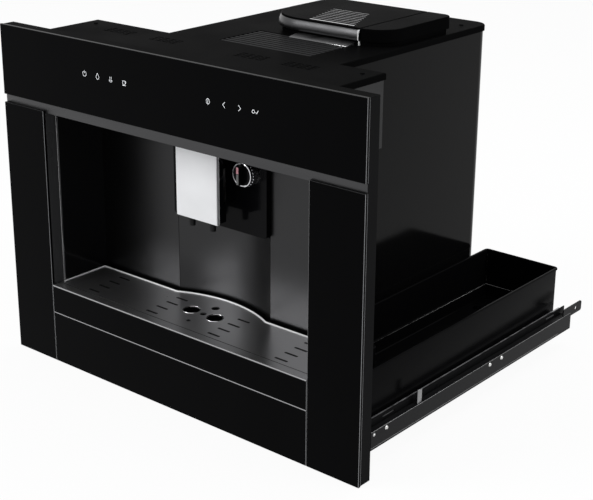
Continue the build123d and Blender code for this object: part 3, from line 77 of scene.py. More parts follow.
SUNK = 0.2  # how deep an applied piece reaches into the surface under it, in millimetres
NEAR = 0.01  # points nearer than this to a plane count as lying on it, in millimetres

Colour = tuple[float, float, float]
Span = tuple[float, float]
Point = tuple[float, float, float]
Pairs = tuple[tuple[float, float], ...]
Piece = bpy.types.Object
Socket = bpy.types.NodeSocket
Edge = bmesh.types.BMEdge
EVEN: Point = (1.0, 1.0, 1.0)


class Grain(Enum):
    """Direction in which a sheet is brushed, as the stretch of its streaks along X, Y and Z."""

    ALONG_X = (0.012, 1.0, 1.0)
    ALONG_Z = (1.0, 1.0, 0.012)


class Wiring:
    """Node tree that is put together node by node."""

    def __init__(self, tree: bpy.types.NodeTree) -> None:
        """Start with an empty tree, whatever it held."""
        self.tree = tree
        tree.nodes.clear()

    def add(self, kind: str, inputs: dict[int | str, Any] | None = None, **values: Any) -> bpy.types.Node:
        """Add a node and set its properties and sockets.

        Args:
            kind: Blender's node type without its leading ShaderNode.
            inputs: Values of input sockets by name or number.
            values: Properties by name.

        Returns:
            The node.
        """
        node = self.tree.nodes.new("ShaderNode" + kind)
        for name, value in values.items():
            setattr(node, name, value)
        for socket, value in (inputs or {}).items():
            node.inputs[socket].default_value = value
        return node

    def wire(self, source: Socket, target: Socket) -> None:
        """Link one socket to another."""
        self.tree.links.new(source, target)

    def rays(self, *kinds: str) -> Socket:
        """Tell rays of some kinds from all others.

        Args:
            kinds: Kinds of rays, as the light path node names them.

        Returns:
            A socket that is 1 for these rays and 0 for others.
        """
        path = self.add("LightPath")
        first, *others = (path.outputs[f"Is {kind} Ray"] for kind in kinds)
        for other in others:
            either = self.add("Math", operation="MAXIMUM")
            self.wire(first, either.inputs[0])
            self.wire(other, either.inputs[1])
            first = either.outputs[0]
        return first

    def blend(self, *sources: Socket) -> Socket:
        """Mix two shaders.

        Args:
            sources: The factor and both shaders.

        Returns:
            The mixed shader.
        """
        mix = self.add("MixShader")
        for source, target in zip(sources, mix.inputs):
            self.wire(source, target)
        return mix.outputs[0]


class Bench(Wiring):
    """Bench on which the node tree of one material is put together."""

    def __init__(self, name: str) -> None:
        """Start a material with a Principled shader.

        Args:
            name: Name of the material.
        """
        self.material = bpy.data.materials.new(name)
        self.material.use_nodes = True
        super().__init__(self.material.node_tree)
        output = self.add("OutputMaterial")
        self.shader = self.add("BsdfPrincipled")
        self.wire(self.shader.outputs["BSDF"], output.inputs["Surface"])
        self.origin = self.add("TexCoord").outputs["Object"]

    def set(self, **values: Any) -> None:
        """Set sockets of the shader, their names given with _ for spaces."""
        for name, value in values.items():
            self.shader.inputs[name.replace("_", " ")].default_value = value

    def texture(self, kind: str, inputs: dict[str, float], output: str, stretch: Point = EVEN) -> Socket:
        """Read a texture that lies in the object's own coordinates.

        Args:
            kind: Kind of texture.
            inputs: Its values by socket, the scale in cells per metre.
            output: Which output to read.
            stretch: Scale along each axis.

        Returns:
            That output.
        """
        mapping = self.add("Mapping", {"Scale": stretch})
        self.wire(self.origin, mapping.inputs["Vector"])
        node = self.add("Tex" + kind, inputs)
        self.wire(mapping.outputs["Vector"], node.inputs["Vector"])
        return node.outputs[output]

    def noise(self, scale: float, detail: float, stretch: Point = EVEN) -> Socket:
        """Noise between 0 and 1, with its octaves as the detail."""
        return self.texture("Noise", {"Scale": scale, "Detail": detail}, "Fac", stretch)

    def cells(self, scale: float, output: str = "Color") -> Socket:
        """Voronoi cells."""
        return self.texture("Voronoi", {"Scale": scale}, output)

    def spread(self, value: Socket, low: float, high: float, start: float = 0.25,
               end: float = 0.75) -> Socket:
        """Map a factor between start and end to the range low to high.

        Args:
            value: The factor.
            low: Result at start.
            high: Result at end.
            start: Factor that gives low.
            end: Factor that gives high.

        Returns:
            The mapped value.
        """
        node = self.add("MapRange", {"From Min": start, "From Max": end, "To Min": low, "To Max": high})
        self.wire(value, node.inputs["Value"])
        return node.outputs["Result"]

    def tint(self, factor: Socket, first: Colour, second: Colour) -> Socket:
        """Mix two colours by a factor.

        Args:
            factor: 0 for the first colour, 1 for the second.
            first: First colour.
            second: Second colour.

        Returns:
            The mixed colour.
        """
        node = self.add("Mix", {6: (*first, 1.0), 7: (*second, 1.0)}, data_type="RGBA")
        self.wire(factor, node.inputs[0])
        return node.outputs[2]

    def relief(self, height: Socket, depth: float) -> None:
        """Give the shader a bump of this depth in millimetres.

        Args:
            height: Height between 0 and 1.
            depth: Full depth in millimetres.
        """
        bump = self.add("Bump", {"Strength": 1.0, "Distance": depth * MM})
        self.wire(height, bump.inputs["Height"])
        self.wire(bump.outputs["Normal"], self.shader.inputs["Normal"])


@dataclass(frozen=True)
class Finish(ABC):
    """Finish of one kind of surface."""

    name: str
    colour: Colour
    roughness: float
    specular: float = 0.5
    metallic: ClassVar[float] = 0.0

    def shade(self, share: float) -> Colour:
        """The finish's colour, brighter or darker by a share."""
        return tuple(max(0.0, part * (1.0 + share)) for part in self.colour)

    def vary(self, bench: Bench, value: Socket, colour_share: float, roughness_share: float) -> None:
        """Let colour and roughness follow a factor.

        Args:
            bench: The bench in use.
            value: Factor between 0 and 1.
            colour_share: Share by which the colour wanders to both sides.
            roughness_share: Share by which the roughness wanders to both sides.
        """
        colour = bench.tint(value, self.shade(-colour_share), self.shade(colour_share))
        bench.wire(colour, bench.shader.inputs["Base Color"])
        low, high = self.roughness * (1 - roughness_share), self.roughness * (1 + roughness_share)
        bench.wire(bench.spread(value, low, high), bench.shader.inputs["Roughness"])

    @abstractmethod
    def treat(self, bench: Bench) -> None:
        """Add what is special to this finish."""

    def make(self) -> bpy.types.Material:
        """Make the material.

        Returns:
            The material.
        """
        bench = Bench(self.name)
        bench.set(Base_Color=(*self.colour, 1.0), Roughness=self.roughness, Metallic=self.metallic,
                  Specular_IOR_Level=self.specular)
        self.treat(bench)
        return bench.material


@dataclass(frozen=True)
class Coat(Finish):
    """Coat whose tone and gloss drift slowly over a fine relief."""

    relief_scale: float = 700.0
    relief_depth: float = 0.02
    relief_detail: float = 2.0
    drift_scale: float = 11.0
    drift_detail: float = 3.0
    drift_stretch: Point = EVEN
    tone_drift: float = 0.14
    gloss_drift: float = 0.18

    def treat(self, bench: Bench) -> None:
        """Add drift and relief.

        Args:
            bench: Where the material is put together.
        """
        drift = bench.noise(self.drift_scale, self.drift_detail, self.drift_stretch)
        self.vary(bench, drift, self.tone_drift, self.gloss_drift)
        bench.relief(bench.noise(self.relief_scale, self.relief_detail), self.relief_depth)


@dataclass(frozen=True)
class Lacquer(Coat):
    """Sprayed coat on sheet metal, its relief a fine orange peel."""


@dataclass(frozen=True)
class Glass(Coat):
    """Back-painted plate glass with faint wiping marks and a slight waviness."""

    relief_scale: float = 9.0
    relief_detail: float = 1.0
    drift_scale: float = 14.0
    drift_detail: float = 4.0
    drift_stretch: Point = (1.0, 1.0, 0.45)
    tone_drift: float = 0.25
    gloss_drift: float = 0.35


@dataclass(frozen=True)
class Moulded(Coat):
    """Moulded plastic with a spark-eroded grain."""

    relief_scale: float = 1500.0
    relief_depth: float = 0.03
    drift_scale: float = 23.0
    drift_detail: float = 4.0
    tone_drift: float = 0.12
    gloss_drift: float = 0.15


@dataclass(frozen=True)
class Brushed(Finish):
    """Metal with a brushed grain."""

    grain: Grain = Grain.ALONG_X
    streaks: float = 1400.0
    depth: float = 0.012
    metallic: ClassVar[float] = 1.0

    def treat(self, bench: Bench) -> None:
        """Add the streaks.

        Args:
            bench: Where the material is put together.
        """
        fine = bench.noise(self.streaks, 4.0, self.grain.value)
        self.vary(bench, fine, colour_share=0.07, roughness_share=0.28)
        bench.relief(fine, self.depth)


@dataclass(frozen=True)
class Plated(Finish):
    """Smooth plated or cast metal with faint clouds."""

    cloud_scale: float = 60.0
    depth: float = 0.01
    wander: float = 0.35
    metallic: ClassVar[float] = 1.0

    def treat(self, bench: Bench) -> None:
        """Add clouds and a relief thirty times as fine."""
        self.vary(bench, bench.noise(self.cloud_scale, 5.0), 0.3 * self.wander, self.wander)
        bench.relief(bench.noise(self.cloud_scale * 30, 2.0), self.depth)


@dataclass(frozen=True)
class Spangled(Finish):
    """Zinc-coated sheet with its crystal pattern."""

    metallic: ClassVar[float] = 0.7

    def treat(self, bench: Bench) -> None:
        """Add the crystals."""
        self.vary(bench, bench.cells(110.0), colour_share=0.18, roughness_share=0.25)


@dataclass(frozen=True)
class Laminate(Finish):
    """Circuit board with its tracks under the mask."""

    def treat(self, bench: Bench) -> None:
        """Add the tracks, which stand out from the board.

        Args:
            bench: Where the material is put together.
        """
        tracks = bench.spread(bench.cells(260.0, "Distance"), 0.0, 1.0, 0.28, 0.34)
        self.vary(bench, tracks, colour_share=0.35, roughness_share=0.2)
        bench.relief(tracks, 0.03)


@dataclass(frozen=True)
class Lit(Finish):
    """Print that is lit from behind."""

    strength: float = 1.0

    def treat(self, bench: Bench) -> None:
        """Add the glow, which is slightly uneven.

        Args:
            bench: Where the material is put together.
        """
        bench.set(Emission_Strength=self.strength)
        glow = bench.tint(bench.noise(400.0, 1.0), self.shade(-0.08), self.colour)
        bench.wire(glow, bench.shader.inputs["Emission Color"])
        self.vary(bench, bench.noise(300.0, 2.0), colour_share=0.06, roughness_share=0.1)


@cache
def material_of(finish: Finish) -> bpy.types.Material:
    """The material of a finish, made once."""
    return finish.make()


GLASS = Glass("black_glass", (0.0012, 0.0012, 0.0014), 0.06, 0.02)
GROUND_EDGE = Lacquer("ground_glass_edge", (0.024, 0.024, 0.025), 0.30, 0.05)
# Lighter copy of the ground glass edge for the side-facing bevels and the thin lines behind the glass:
# painted highlight.
GLASS_SIDE_HIGHLIGHT = Lacquer("glass_side_painted_highlight", (0.25, 0.25, 0.255), 0.30, 0.3)
FRAME = Lacquer("frame_lacquer", (0.0085, 0.0085, 0.0088), 0.36, 0.006)
BAR = Brushed("bar_aluminium", (0.062, 0.062, 0.064), 0.38)
REVEAL = Lacquer("reveal_lacquer", (0.036, 0.036, 0.037), 0.30, 0.25)
CAVITY = Lacquer("cavity_enamel", (0.0035, 0.0035, 0.0038), 0.16, 0.14, 260.0, 0.012)
RECESS = Plated("recess_steel", (0.037, 0.037, 0.038), 0.30, cloud_scale=9.0, depth=0.001, wander=0.1)
STEEL = Brushed("tray_steel", (0.40, 0.40, 0.41), 0.30)
SHEET = Plated("grid_steel", (0.70, 0.70, 0.71), 0.30, cloud_scale=12.0, depth=0.001, wander=0.1)
FOLD = Plated("fold_steel", (0.24, 0.24, 0.245), 0.26)
# Grey metal beads on the black tank: painted highlight along its ledge and inner corner.
TANK_HIGHLIGHT = Plated("tank_painted_highlight", (0.16, 0.16, 0.16), 0.3)
# Near-white satin lacquer for the tray's rolled steel rim: a real rim with a painted highlight.
RIM_HIGHLIGHT = Lacquer("rim_painted_highlight", (0.80, 0.80, 0.80), 0.22, 0.8)
BRIGHT = Plated("bright_steel", (0.86, 0.86, 0.87), 0.16)
SILVER = Lacquer("satin_silver", (0.78, 0.78, 0.79), 0.34, 0.5, 1500.0, 0.008)
SKIRT = Plated("lid_skirt", (0.060, 0.060, 0.062), 0.34, cloud_scale=30.0, depth=0.004)
FOOT = Plated("lid_foot", (0.125, 0.125, 0.128), 0.36, cloud_scale=30.0, depth=0.004)
SLAT = Plated("slat_steel", (0.42, 0.42, 0.43), 0.20)
# White lacquer for the lines where the lids meet: painted highlight.
SEAM_HIGHLIGHT = Lacquer("seam_painted_highlight", (0.88, 0.88, 0.88), 0.35, 0.4)
CHROME = Plated("polished_chrome", (0.62, 0.62, 0.64), 0.08, cloud_scale=25.0, depth=0.002)
BLACK = Moulded("black_plastic", (0.006, 0.006, 0.0065), 0.42, 0.12)
GLOSS = Moulded("gloss_plastic", (0.0025, 0.0025, 0.003), 0.12, 0.05, 900.0, 0.004)
HOUSING = Lacquer("housing_coat", (0.0030, 0.0030, 0.0031), 0.34, 0.0007)
WALL = Lacquer("wall_coat", (0.0028, 0.0028, 0.0029), 0.10, 0.05, 120.0, 0.01)
RIBS = Lacquer("rib_coat", (0.026, 0.026, 0.0265), 0.36, 0.004)
ZINC = Spangled("zinc_sheet", (0.33, 0.33, 0.34), 0.38)
DULL_ZINC = Spangled("dull_zinc", (0.030, 0.030, 0.0305), 0.42, 0.1)
TANK = Moulded("tank_plastic", (0.0026, 0.0026, 0.0028), 0.20, 0.012, 500.0, 0.006)
RAIL = Lacquer("rail_coat", (0.0085, 0.0085, 0.009), 0.30, 0.05)
SCREW = Plated("screw_zinc", (0.62, 0.62, 0.61), 0.24)
BOARD = Laminate("board_mask", (0.012, 0.075, 0.032), 0.35)
BOILER = Plated("cast_aluminium", (0.50, 0.50, 0.51), 0.42, cloud_scale=90.0, depth=0.05)
MOTOR = Lacquer("motor_case", (0.17, 0.17, 0.18), 0.38)
BURR = Brushed("burr_steel", (0.48, 0.48, 0.49), 0.26, grain=Grain.ALONG_Z)
HOSE = Moulded("hose_silicone", (0.52, 0.52, 0.50), 0.45)
ICON = Lit("icon_print", (0.80, 0.82, 0.84), 0.5, 0.3, strength=0.46)
RED = Moulded("red_mark", (0.60, 0.27, 0.31), 0.35)
POINTER = Lacquer("pointer_grey", (0.16, 0.16, 0.16), 0.4, 0.1)
LID = Lacquer("lid_coat", (0.0022, 0.0022, 0.0023), 0.28, 0.0007)

SLOT_FINISH = {
    "black_glass": GLASS,
    "frame_grey": FRAME,
    "cavity_black": CAVITY,
    "steel": STEEL,
    "silver": SILVER,
    "chrome": CHROME,
    "black_plastic": BLACK,
    "gloss_black": GLOSS,
    "zinc": ZINC,
    "body_grey": HOUSING,
    "tank_black": TANK,
    "rail_steel": RAIL,
    "board_green": BOARD,
    "boiler_metal": BOILER,
    "motor_metal": MOTOR,
    "burr_steel": BURR,
    "hose_rubber": HOSE,
}
NODE_FINISH = {
    "front_housing": DULL_ZINC,
    "bean_lid": LID,
    "powder_lid": LID,
    "lid_plinth": LID,
    "core_left_panel": WALL,
    "core_right_panel": WALL,
    "core_rear_panel": WALL,
    "ribbed_insert": RIBS,
    "grounds_front": RECESS,
    "cavity_back_left": RECESS,
    "cavity_back_right": RECESS,
}


def spans(node: str) -> tuple[Span, Span, Span]:
    """X, Y and Z span of a CAD node in millimetres."""
    low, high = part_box(node)
    return tuple((low[axis] / MM, high[axis] / MM) for axis in range(3))


def inset(span: Span, by: float) -> Span:
    """Span drawn in at both ends."""
    return span[0] + by, span[1] - by


def about(middle: float, half: float) -> Span:
    """Span that reaches equally far to both sides of its middle."""
    return middle - half, middle + half


@dataclass
class Workpiece:
    """Piece that is shaped in millimetres in the row frame.

    Args:
        name: Name of the piece.
        body: CAD body that it moves with.
        coat: Its finish.
        slot: Material slot that the finish belongs to; not used.
        replaced: CAD nodes that it stands for.
        mesh: The mesh in the making.
    """

    name: str
    body: str
    coat: Finish
    slot: str
    replaced: tuple[str, ...] = ()
    mesh: bmesh.types.BMesh = field(default_factory=bmesh.new)

    def soften(self, parts: Sequence[Any], radius: float, segments: int, affect: str = "EDGES") -> None:
        """Round edges or corners off."""
        bmesh.ops.bevel(self.mesh, geom=list(parts), offset=radius, offset_type="OFFSET", segments=segments,
                        profile=0.5, affect=affect, material=-1)

    def block(self, x: Span, y: Span, z: Span, round_off: float = 0.0, segments: int = 2,
              pick: Callable[[Edge], bool] | None = None) -> None:
        """Add a box with rounded edges. The ends of each span may come in either order.

        Args:
            x: Span along X.
            y: Span along Y.
            z: Span along Z.
            round_off: Radius of the rounded edges, or 0.
            segments: Faces across a rounded edge.
            pick: Chooses the edges to round; all of them without it.
        """
        corners = bmesh.ops.create_cube(self.mesh, size=1.0)["verts"]
        sides = [abs(span[1] - span[0]) for span in (x, y, z)]
        bmesh.ops.scale(self.mesh, vec=sides, verts=corners)
        middle = [(span[0] + span[1]) / 2 for span in (x, y, z)]
        bmesh.ops.translate(self.mesh, vec=middle, verts=corners)
        if round_off:
            edges = {edge for corner in corners for edge in corner.link_edges}
            self.soften([edge for edge in edges if pick is None or pick(edge)], round_off, segments)

    def lathe(self, centre: Point, profile: Sequence[Span], steps: int) -> None:
        """Turn a closed or open profile round an axis along Y.

        Args:
            centre: Point on the axis that the profile starts from.
            profile: Pairs of (distance along the axis, radius).
            steps: Steps of the full turn.
        """
        way = Vector((0, 1, 0))
        side = way.orthogonal().normalized()
        chain = [self.mesh.verts.new(Vector(centre) + way * along + side * radius)
                 for along, radius in profile]
        edges = [self.mesh.edges.new(pair) for pair in zip(chain, chain[1:])]
        bmesh.ops.spin(self.mesh, geom=chain + edges, cent=centre, axis=way, dvec=(0, 0, 0),
                       angle=2 * math.pi, steps=steps, use_merge=True)

    def arc(self, centre: tuple[float, float], radius: float, start: float, sweep: float, width: float,
            y: Span, squeeze: float = 1.0) -> None:
        """Add a flat curved stroke in the XZ plane.

        Args:
            centre: X and Z of the arc's centre.
            radius: Radius of its middle line.
            start: Start angle in degrees, 0 towards +X, turning towards +Z.
            sweep: Angle that it covers.
            width: Width of the stroke.
            y: Span along Y.
            squeeze: Share of the width that an ellipse keeps along X.
        """
        steps = max(4, int(abs(sweep) / 15))
        before = set(self.mesh.verts)
        angle = math.radians(start)
        ends = []
        for reach, depth in ((-0.5, y[0]), (0.5, y[0]), (0.5, y[1]), (-0.5, y[1])):
            far = radius + reach * width
            place = (centre[0] + far * math.cos(angle), depth, centre[1] + far * math.sin(angle))
            ends.append(self.mesh.verts.new(place))
        face = self.mesh.faces.new(ends)
        closed = abs(sweep) >= 360
        geometry = [face, *face.edges, *face.verts]
        bmesh.ops.spin(self.mesh, geom=geometry, cent=(centre[0], 0, centre[1]), axis=(0, -1, 0),
                       dvec=(0, 0, 0), angle=math.radians(sweep), steps=steps, use_merge=closed)
        if closed:
            bmesh.ops.delete(self.mesh, geom=[face] if face.is_valid else [], context="FACES_ONLY")
        made = [vert for vert in self.mesh.verts if vert not in before]
        bmesh.ops.scale(self.mesh, vec=(squeeze, 1, 1), verts=made, space=Matrix.Translation(
            (-centre[0], 0, -centre[1])))

    def stroke(self, start: tuple[float, float], end: tuple[float, float], width: float, y: Span) -> None:
        """Add a flat straight stroke in the XZ plane.

        Args:
            start: X and Z of its start.
            end: X and Z of its end.
            width: Width of the stroke.
            y: Span along Y.
        """
        first, last = Vector((start[0], 0, start[1])), Vector((end[0], 0, end[1]))
        length = (last - first).length
        angle = math.atan2(last.z - first.z, last.x - first.x)
        made = bmesh.ops.create_cube(self.mesh, size=1.0)["verts"]
        bmesh.ops.scale(self.mesh, vec=(length, y[1] - y[0], width), verts=made)
        bmesh.ops.rotate(self.mesh, cent=(0, 0, 0), matrix=Matrix.Rotation(-angle, 3, "Y"), verts=made)
        middle = (first + last) / 2
        bmesh.ops.translate(self.mesh, vec=(middle.x, (y[0] + y[1]) / 2, middle.z), verts=made)

    def outline(self, corners: Sequence[Point], z: float, segments: int,
                keep_face: bool = False) -> list[Edge]:
        """Add a closed outline with rounded corners at one height.

        Args:
            corners: (x, y, radius) of each corner in turn.
            z: Height.
            segments: Segments of a rounded corner.
            keep_face: Whether the face inside it stays.

        Returns:
            The outline's edges.
        """
        before = set(self.mesh.edges)
        verts = [self.mesh.verts.new((x, y, z)) for x, y, _ in corners]
        self.mesh.faces.new(verts)
        for vert, (_, _, radius) in zip(verts, corners):
            if radius > NEAR:
                self.soften([vert], radius, segments, "VERTICES")
        edges = [edge for edge in self.mesh.edges if edge not in before]
        if not keep_face:
            faces = {face for edge in edges for face in edge.link_faces}
            bmesh.ops.delete(self.mesh, geom=list(faces), context="FACES_ONLY")
        return edges

    def wrap(self, loops: Sequence[Sequence[Edge]]) -> None:
        """Join each loop of edges to the next with a band of faces."""
        for first, second in zip(loops, loops[1:]):
            bmesh.ops.bridge_loops(self.mesh, edges=[*first, *second])

    def finish(self, sharp: float = 32.0) -> Piece:
        """Close the mesh and make the piece.

        Args:
            sharp: Angle in degrees above which an edge stays sharp.

        Returns:
            The piece's object.
        """
        bmesh.ops.remove_doubles(self.mesh, verts=self.mesh.verts, dist=MERGE)
        bmesh.ops.recalc_face_normals(self.mesh, faces=self.mesh.faces)
        bmesh.ops.scale(self.mesh, vec=(MM, MM, MM), verts=self.mesh.verts)
        for face in self.mesh.faces:
            face.smooth = True
        data = bpy.data.meshes.new(self.name)
        self.mesh.to_mesh(data)
        self.mesh.free()
        data.set_sharp_from_angle(angle=math.radians(sharp))
        return self.dress(data)

    def dress(self, data: bpy.types.Mesh) -> Piece:
        """Make the piece's object, give it its finish and let it ride on its body.

        Args:
            data: The finished mesh.

        Returns:
            The piece's object.
        """
        piece = bpy.data.objects.new(self.name, data)
        bpy.context.scene.collection.objects.link(piece)
        piece.data.materials.append(material_of(self.coat))
        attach(piece, self.body)
        if self.replaced:
            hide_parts(*self.replaced)
        return piece

    def blocks(self, parts: Sequence[tuple[Span, Span, Span]], round_off: float, segments: int = 2) -> Piece:
        """Make the piece of boxes with rounded edges.

        Args:
            parts: X, Y and Z span of each box.
            round_off: Radius of the rounded edges, or 0.
            segments: Faces across a rounded edge.

        Returns:
            The piece's object.
        """
        for part in parts:
            self.block(*part, round_off, segments)
        return self.finish()

    def rods(self, parts: Sequence[tuple[Point, Point, float, float]], sides: int = 24) -> Piece:
        """Make the piece of cylinders or cones.

        Args:
            parts: Centres of both ends and radii at both ends of each.
            sides: Sides of each.

        Returns:
            The piece's object.
        """
        for start, end, radius, end_radius in parts:
            first, last = Vector(start), Vector(end)
            axis = last - first
            turn = Vector((0, 0, 1)).rotation_difference(axis.normalized()).to_matrix().to_4x4()
            bmesh.ops.create_cone(
                self.mesh, cap_ends=True, segments=sides, radius1=radius, radius2=end_radius,
                depth=axis.length, matrix=Matrix.Translation((first + last) / 2) @ turn,
            )
        return self.finish()

    def bead(self, paths: Sequence[Sequence[Point]], radius: float, closed: bool) -> Piece:
        """Make the piece a round bead along paths.

        Args:
            paths: Points of each path.
            radius: Radius of the bead.
            closed: Whether each path closes on itself.

        Returns:
            The piece's object.
        """
        curve = bpy.data.curves.new(self.name, "CURVE")
        curve.dimensions = "3D"
        curve.bevel_depth = radius * MM
        curve.bevel_resolution = 2
        curve.use_fill_caps = True
        for path in paths:
            spline = curve.splines.new("POLY")
            spline.points.add(len(path) - 1)
            for knot, place in zip(spline.points, path):
                knot.co = (*(part * MM for part in place), 1.0)
            spline.use_cyclic_u = closed
        holder = bpy.data.objects.new(self.name + "_path", curve)
        data = bpy.data.meshes.new_from_object(holder)
        bpy.data.objects.remove(holder)
        data.name = self.name
        data.materials.clear()
        for face in data.polygons:
            face.use_smooth = True
        return self.dress(data)


def upright(edge: Edge) -> bool:
    """Whether an edge runs along Z."""
    first, last = (vert.co for vert in edge.verts)
    return abs(first.x - last.x) + abs(first.y - last.y) < NEAR


def facing(y: float) -> Callable[[Edge], bool]:
    """Make a test for edges that lie in the front plane at this depth."""
    return lambda edge: all(vert.co.y < y + NEAR for vert in edge.verts)


def circle(x: float, y: float, radius: float, z: float, steps: int = 36) -> list[Point]:
    """Points round a circle in the XY plane."""
    turns = (2 * math.pi * step / steps for step in range(steps))
    return [(x + radius * math.cos(turn), y + radius * math.sin(turn), z) for turn in turns]


class SubAssembly(ABC):
    """Group of pieces that belong together."""

    @abstractmethod
    def build(self) -> list[Piece]:
        """Build the pieces.

        Returns:
            The objects made.
        """


@dataclass(frozen=True)
class Icon:
    """Touch icon, drawn in shares of its half height round its own middle.

    Args:
        name: What it shows.
        x: Where its middle is, in millimetres.
        lines: Strokes as (x, z, x, z) of both ends, and arcs as (x, z, radius, start, sweep), which
            may have a squeeze after that.
    """

    name: str
    x: float
    lines: tuple[tuple[float, ...], ...]

    def draw(self, z: float, size: float, width: float, depth: Span) -> Piece:
        """Draw the icon.

        Args:
            z: Height of its middle.
            size: Half of its height.
            width: Width of its lines.
            depth: Span along Y.

        Returns:
            The piece.
        """
        work = Workpiece(f"icon_{self.name}", "machine", ICON, "black_glass")
        for x, rise, *more in self.lines:
            place = (self.x + x * size, z + rise * size)
            if len(more) == 2:
                work.stroke(place, (self.x + more[0] * size, z + more[1] * size), width, depth)
            else:
                radius, start, sweep, *squeeze = more
                work.arc(place, radius * size, start, sweep, width, depth, *squeeze)
        return work.finish()


ICONS = (
    Icon("power", -137.0, ((0, 0, 0.92, 115, 310), (0, 0.2, 0, 1.15))),
    Icon("drop", -113.5, ((0, -0.25, 0.75, 150, 240), (-0.65, 0.13, 0, 1.2), (0.65, 0.13, 0, 1.2))),
    Icon("cup", -90.0, (
        (0, -0.25, 0.7, 180, 180), (-0.7, -0.25, 0.7, -0.25), (-0.35, 0.2, -0.35, 0.95),
        (0.35, 0.2, 0.35, 0.95),
    )),
    Icon("jug", -66.0, (
        (-0.2, -0.3, 0.62, 180, 180), (-0.82, -0.3, -0.82, 0.55), (0.42, -0.3, 0.42, 0.55),
        (-0.82, 0.55, 0.42, 0.55), (0.42, 0.1, 0.38, -90, 180), (-1, -1.1, 0.7, -1.1),
    )),
    Icon("bean", 71.5, (
        (0, 0, 0.95, 0, 360, 0.8), (-0.35, 0.4, 0.45, -60, 110), (0.35, -0.4, 0.45, 120, 110),
    )),
    Icon("back", 96.0, ((-0.5, 0, 0.5, -0.95), (-0.5, 0, 0.5, 0.95))),
    Icon("next", 120.0, ((0.5, 0, -0.5, -0.95), (0.5, 0, -0.5, 0.95))),
    Icon("confirm", 143.0, ((-0.75, 0, 0.55, 0, 360), (0.25, -0.05, 0.65, -0.55), (0.65, -0.55, 1.4, 0.6))),
)


@dataclass
class Fascia(SubAssembly):
    """Glass plates with ground edges and painted highlights, the painted shade on the frame's top, the grey
    bar and the touch icons.
    """

    edge: float = 0.4
    seam: float = 0.35
    glint_width: float = 0.6
    glint_inset: float = 0.3
    icon_z: float = 391.5
    icon_size: float = 3.4
    icon_line: float = 0.5
    icon_print: float = 0.2
    icon_proud: float = 0.06
    flat: float = 0.05
    bar_sheet: float = 0.6
    bar_lap: float = 2.0
    shade_cap_rise: float = 0.08
    plates: tuple[str, ...] = ("control_glass", "left_column_glass", "right_column_glass", "lower_glass")

    def plate(self, node: str, body: str = "machine") -> Piece:
        """Glass plate with a ground front edge; its side-facing bevels take a lighter copy of the edge finish
        as a painted highlight.

        Args:
            node: CAD node that the plate stands for.
            body: CAD body that it moves with.

        Returns:
            The piece.
        """
        x, y, z = spans(node)
        front = y[0] + self.icon_proud
        work = Workpiece(f"{node}_plate", body, GLASS, "black_glass", (node,))
        work.block(x, (front, y[1] - self.seam), z, self.edge, pick=facing(front))
        piece = work.finish(sharp=15.0)
        for coat in (GROUND_EDGE, GLASS_SIDE_HIGHLIGHT):
            piece.data.materials.append(material_of(coat))
        for face in piece.data.polygons:
            sloped = sum(abs(part) > self.flat for part in face.normal) > 1
            # Side-facing bevels take the lighter copy as a painted highlight; top and bottom bevels keep the
            # plain ground edge.
            face.material_index = (2 if abs(face.normal.x) > self.flat else 1) if sloped else 0
        return piece

    def edge_glints(self) -> Piece:
        """Thin line of painted highlight behind the outer edge of the glass on both sides.

        Returns:
            The piece.
        """
        parts = []
        for node in self.plates[:3]:
            x, y, z = spans(node)
            for side, edge in zip((-1, 1), x):
                if abs(edge) > spans("fascia_top")[0][1] - 1:
                    parts.append(((edge - side * self.glint_width, edge), (y[1] - self.seam, y[1]),
                                  inset(z, self.glint_inset)))
        return Workpiece("glass_edge_painted_glints", "machine", GLASS_SIDE_HIGHLIGHT, "black_glass").blocks(parts, round_off=0.0)

    def build(self) -> list[Piece]:
        """Build plates, the painted glints behind them, the painted-shade cap on the frame's top, bar and
        icons.

        Returns:
            The objects made.
        """
        x, y, z = spans("fascia_top")
        # Cap in the top cover's darker coat over the frame's top: painted shade, so that the top stays darker
        # than the frame's sides.
        cap = (inset(x, SUNK), inset(y, SUNK), (z[1] - SUNK, z[1] + self.shade_cap_rise))
        opening = spans("right_column_glass")[0][0]
        low, front = z[0] - self.bar_sheet, y[0] - self.bar_sheet
        sheet = (x, (front, y[0]), (low, spans("control_glass")[2][0] + self.bar_lap))
        folded = (about(0.0, opening), (front, 0.0), (low, z[0]))
        face = spans("control_glass")[1][0]
        print_depth = (face, face + self.icon_print)
        return [
            *(self.plate(node) for node in self.plates),
            self.plate("tray_glass", "drip_drawer"),
            self.edge_glints(),
            Workpiece("frame_top_painted_shade", "machine", HOUSING, "frame_grey").blocks([cap], 0.05, segments=1),
            Workpiece("bar_trim", "machine", BAR, "frame_grey").blocks([sheet, folded], 0.25),
            *(icon.draw(self.icon_z, self.icon_size, self.icon_line, print_depth) for icon in ICONS),
        ]


@dataclass
class Cavity(SubAssembly):
    """Bright steel strips on the folded edges of the cavity's side sheets as a painted highlight, and grey
    sheets on the frame's inner faces.
    """

    strip: float = 0.4
    reach: float = 1.4
    sheet: float = 0.35
    gap: float = 0.1
    over_grid: float = 0.4
    under_bar: float = 1.0

    def build(self) -> list[Piece]:
        """Build both strips of painted highlight and both sheets.

        Returns:
            The objects made.
        """
        made = []
        _, depth, bar = spans("fascia_top")
        rise = (spans("drip_grid")[2][1] + self.over_grid, bar[0] - self.under_bar)
        for name, side in (("left", 1), ("right", -1)):
            inner = spans(f"cavity_{name}_wall")[0][side > 0]
            strip = ((inner, inner + side * self.strip), about(0.0, self.reach), rise)
            sheet = ((inner, inner + side * self.sheet), (depth[0] + self.gap, -self.reach - self.gap), rise)
            # The folded edges are real; their bright steel is a painted highlight.
            edge = Workpiece(f"cavity_edge_{name}", "machine", BRIGHT, "steel")
            reveal = Workpiece(f"cavity_reveal_{name}", "machine", REVEAL, "frame_grey")
            made += [edge.blocks([strip], 0.15, segments=3), reveal.blocks([sheet], 0.1, segments=1)]
        return made


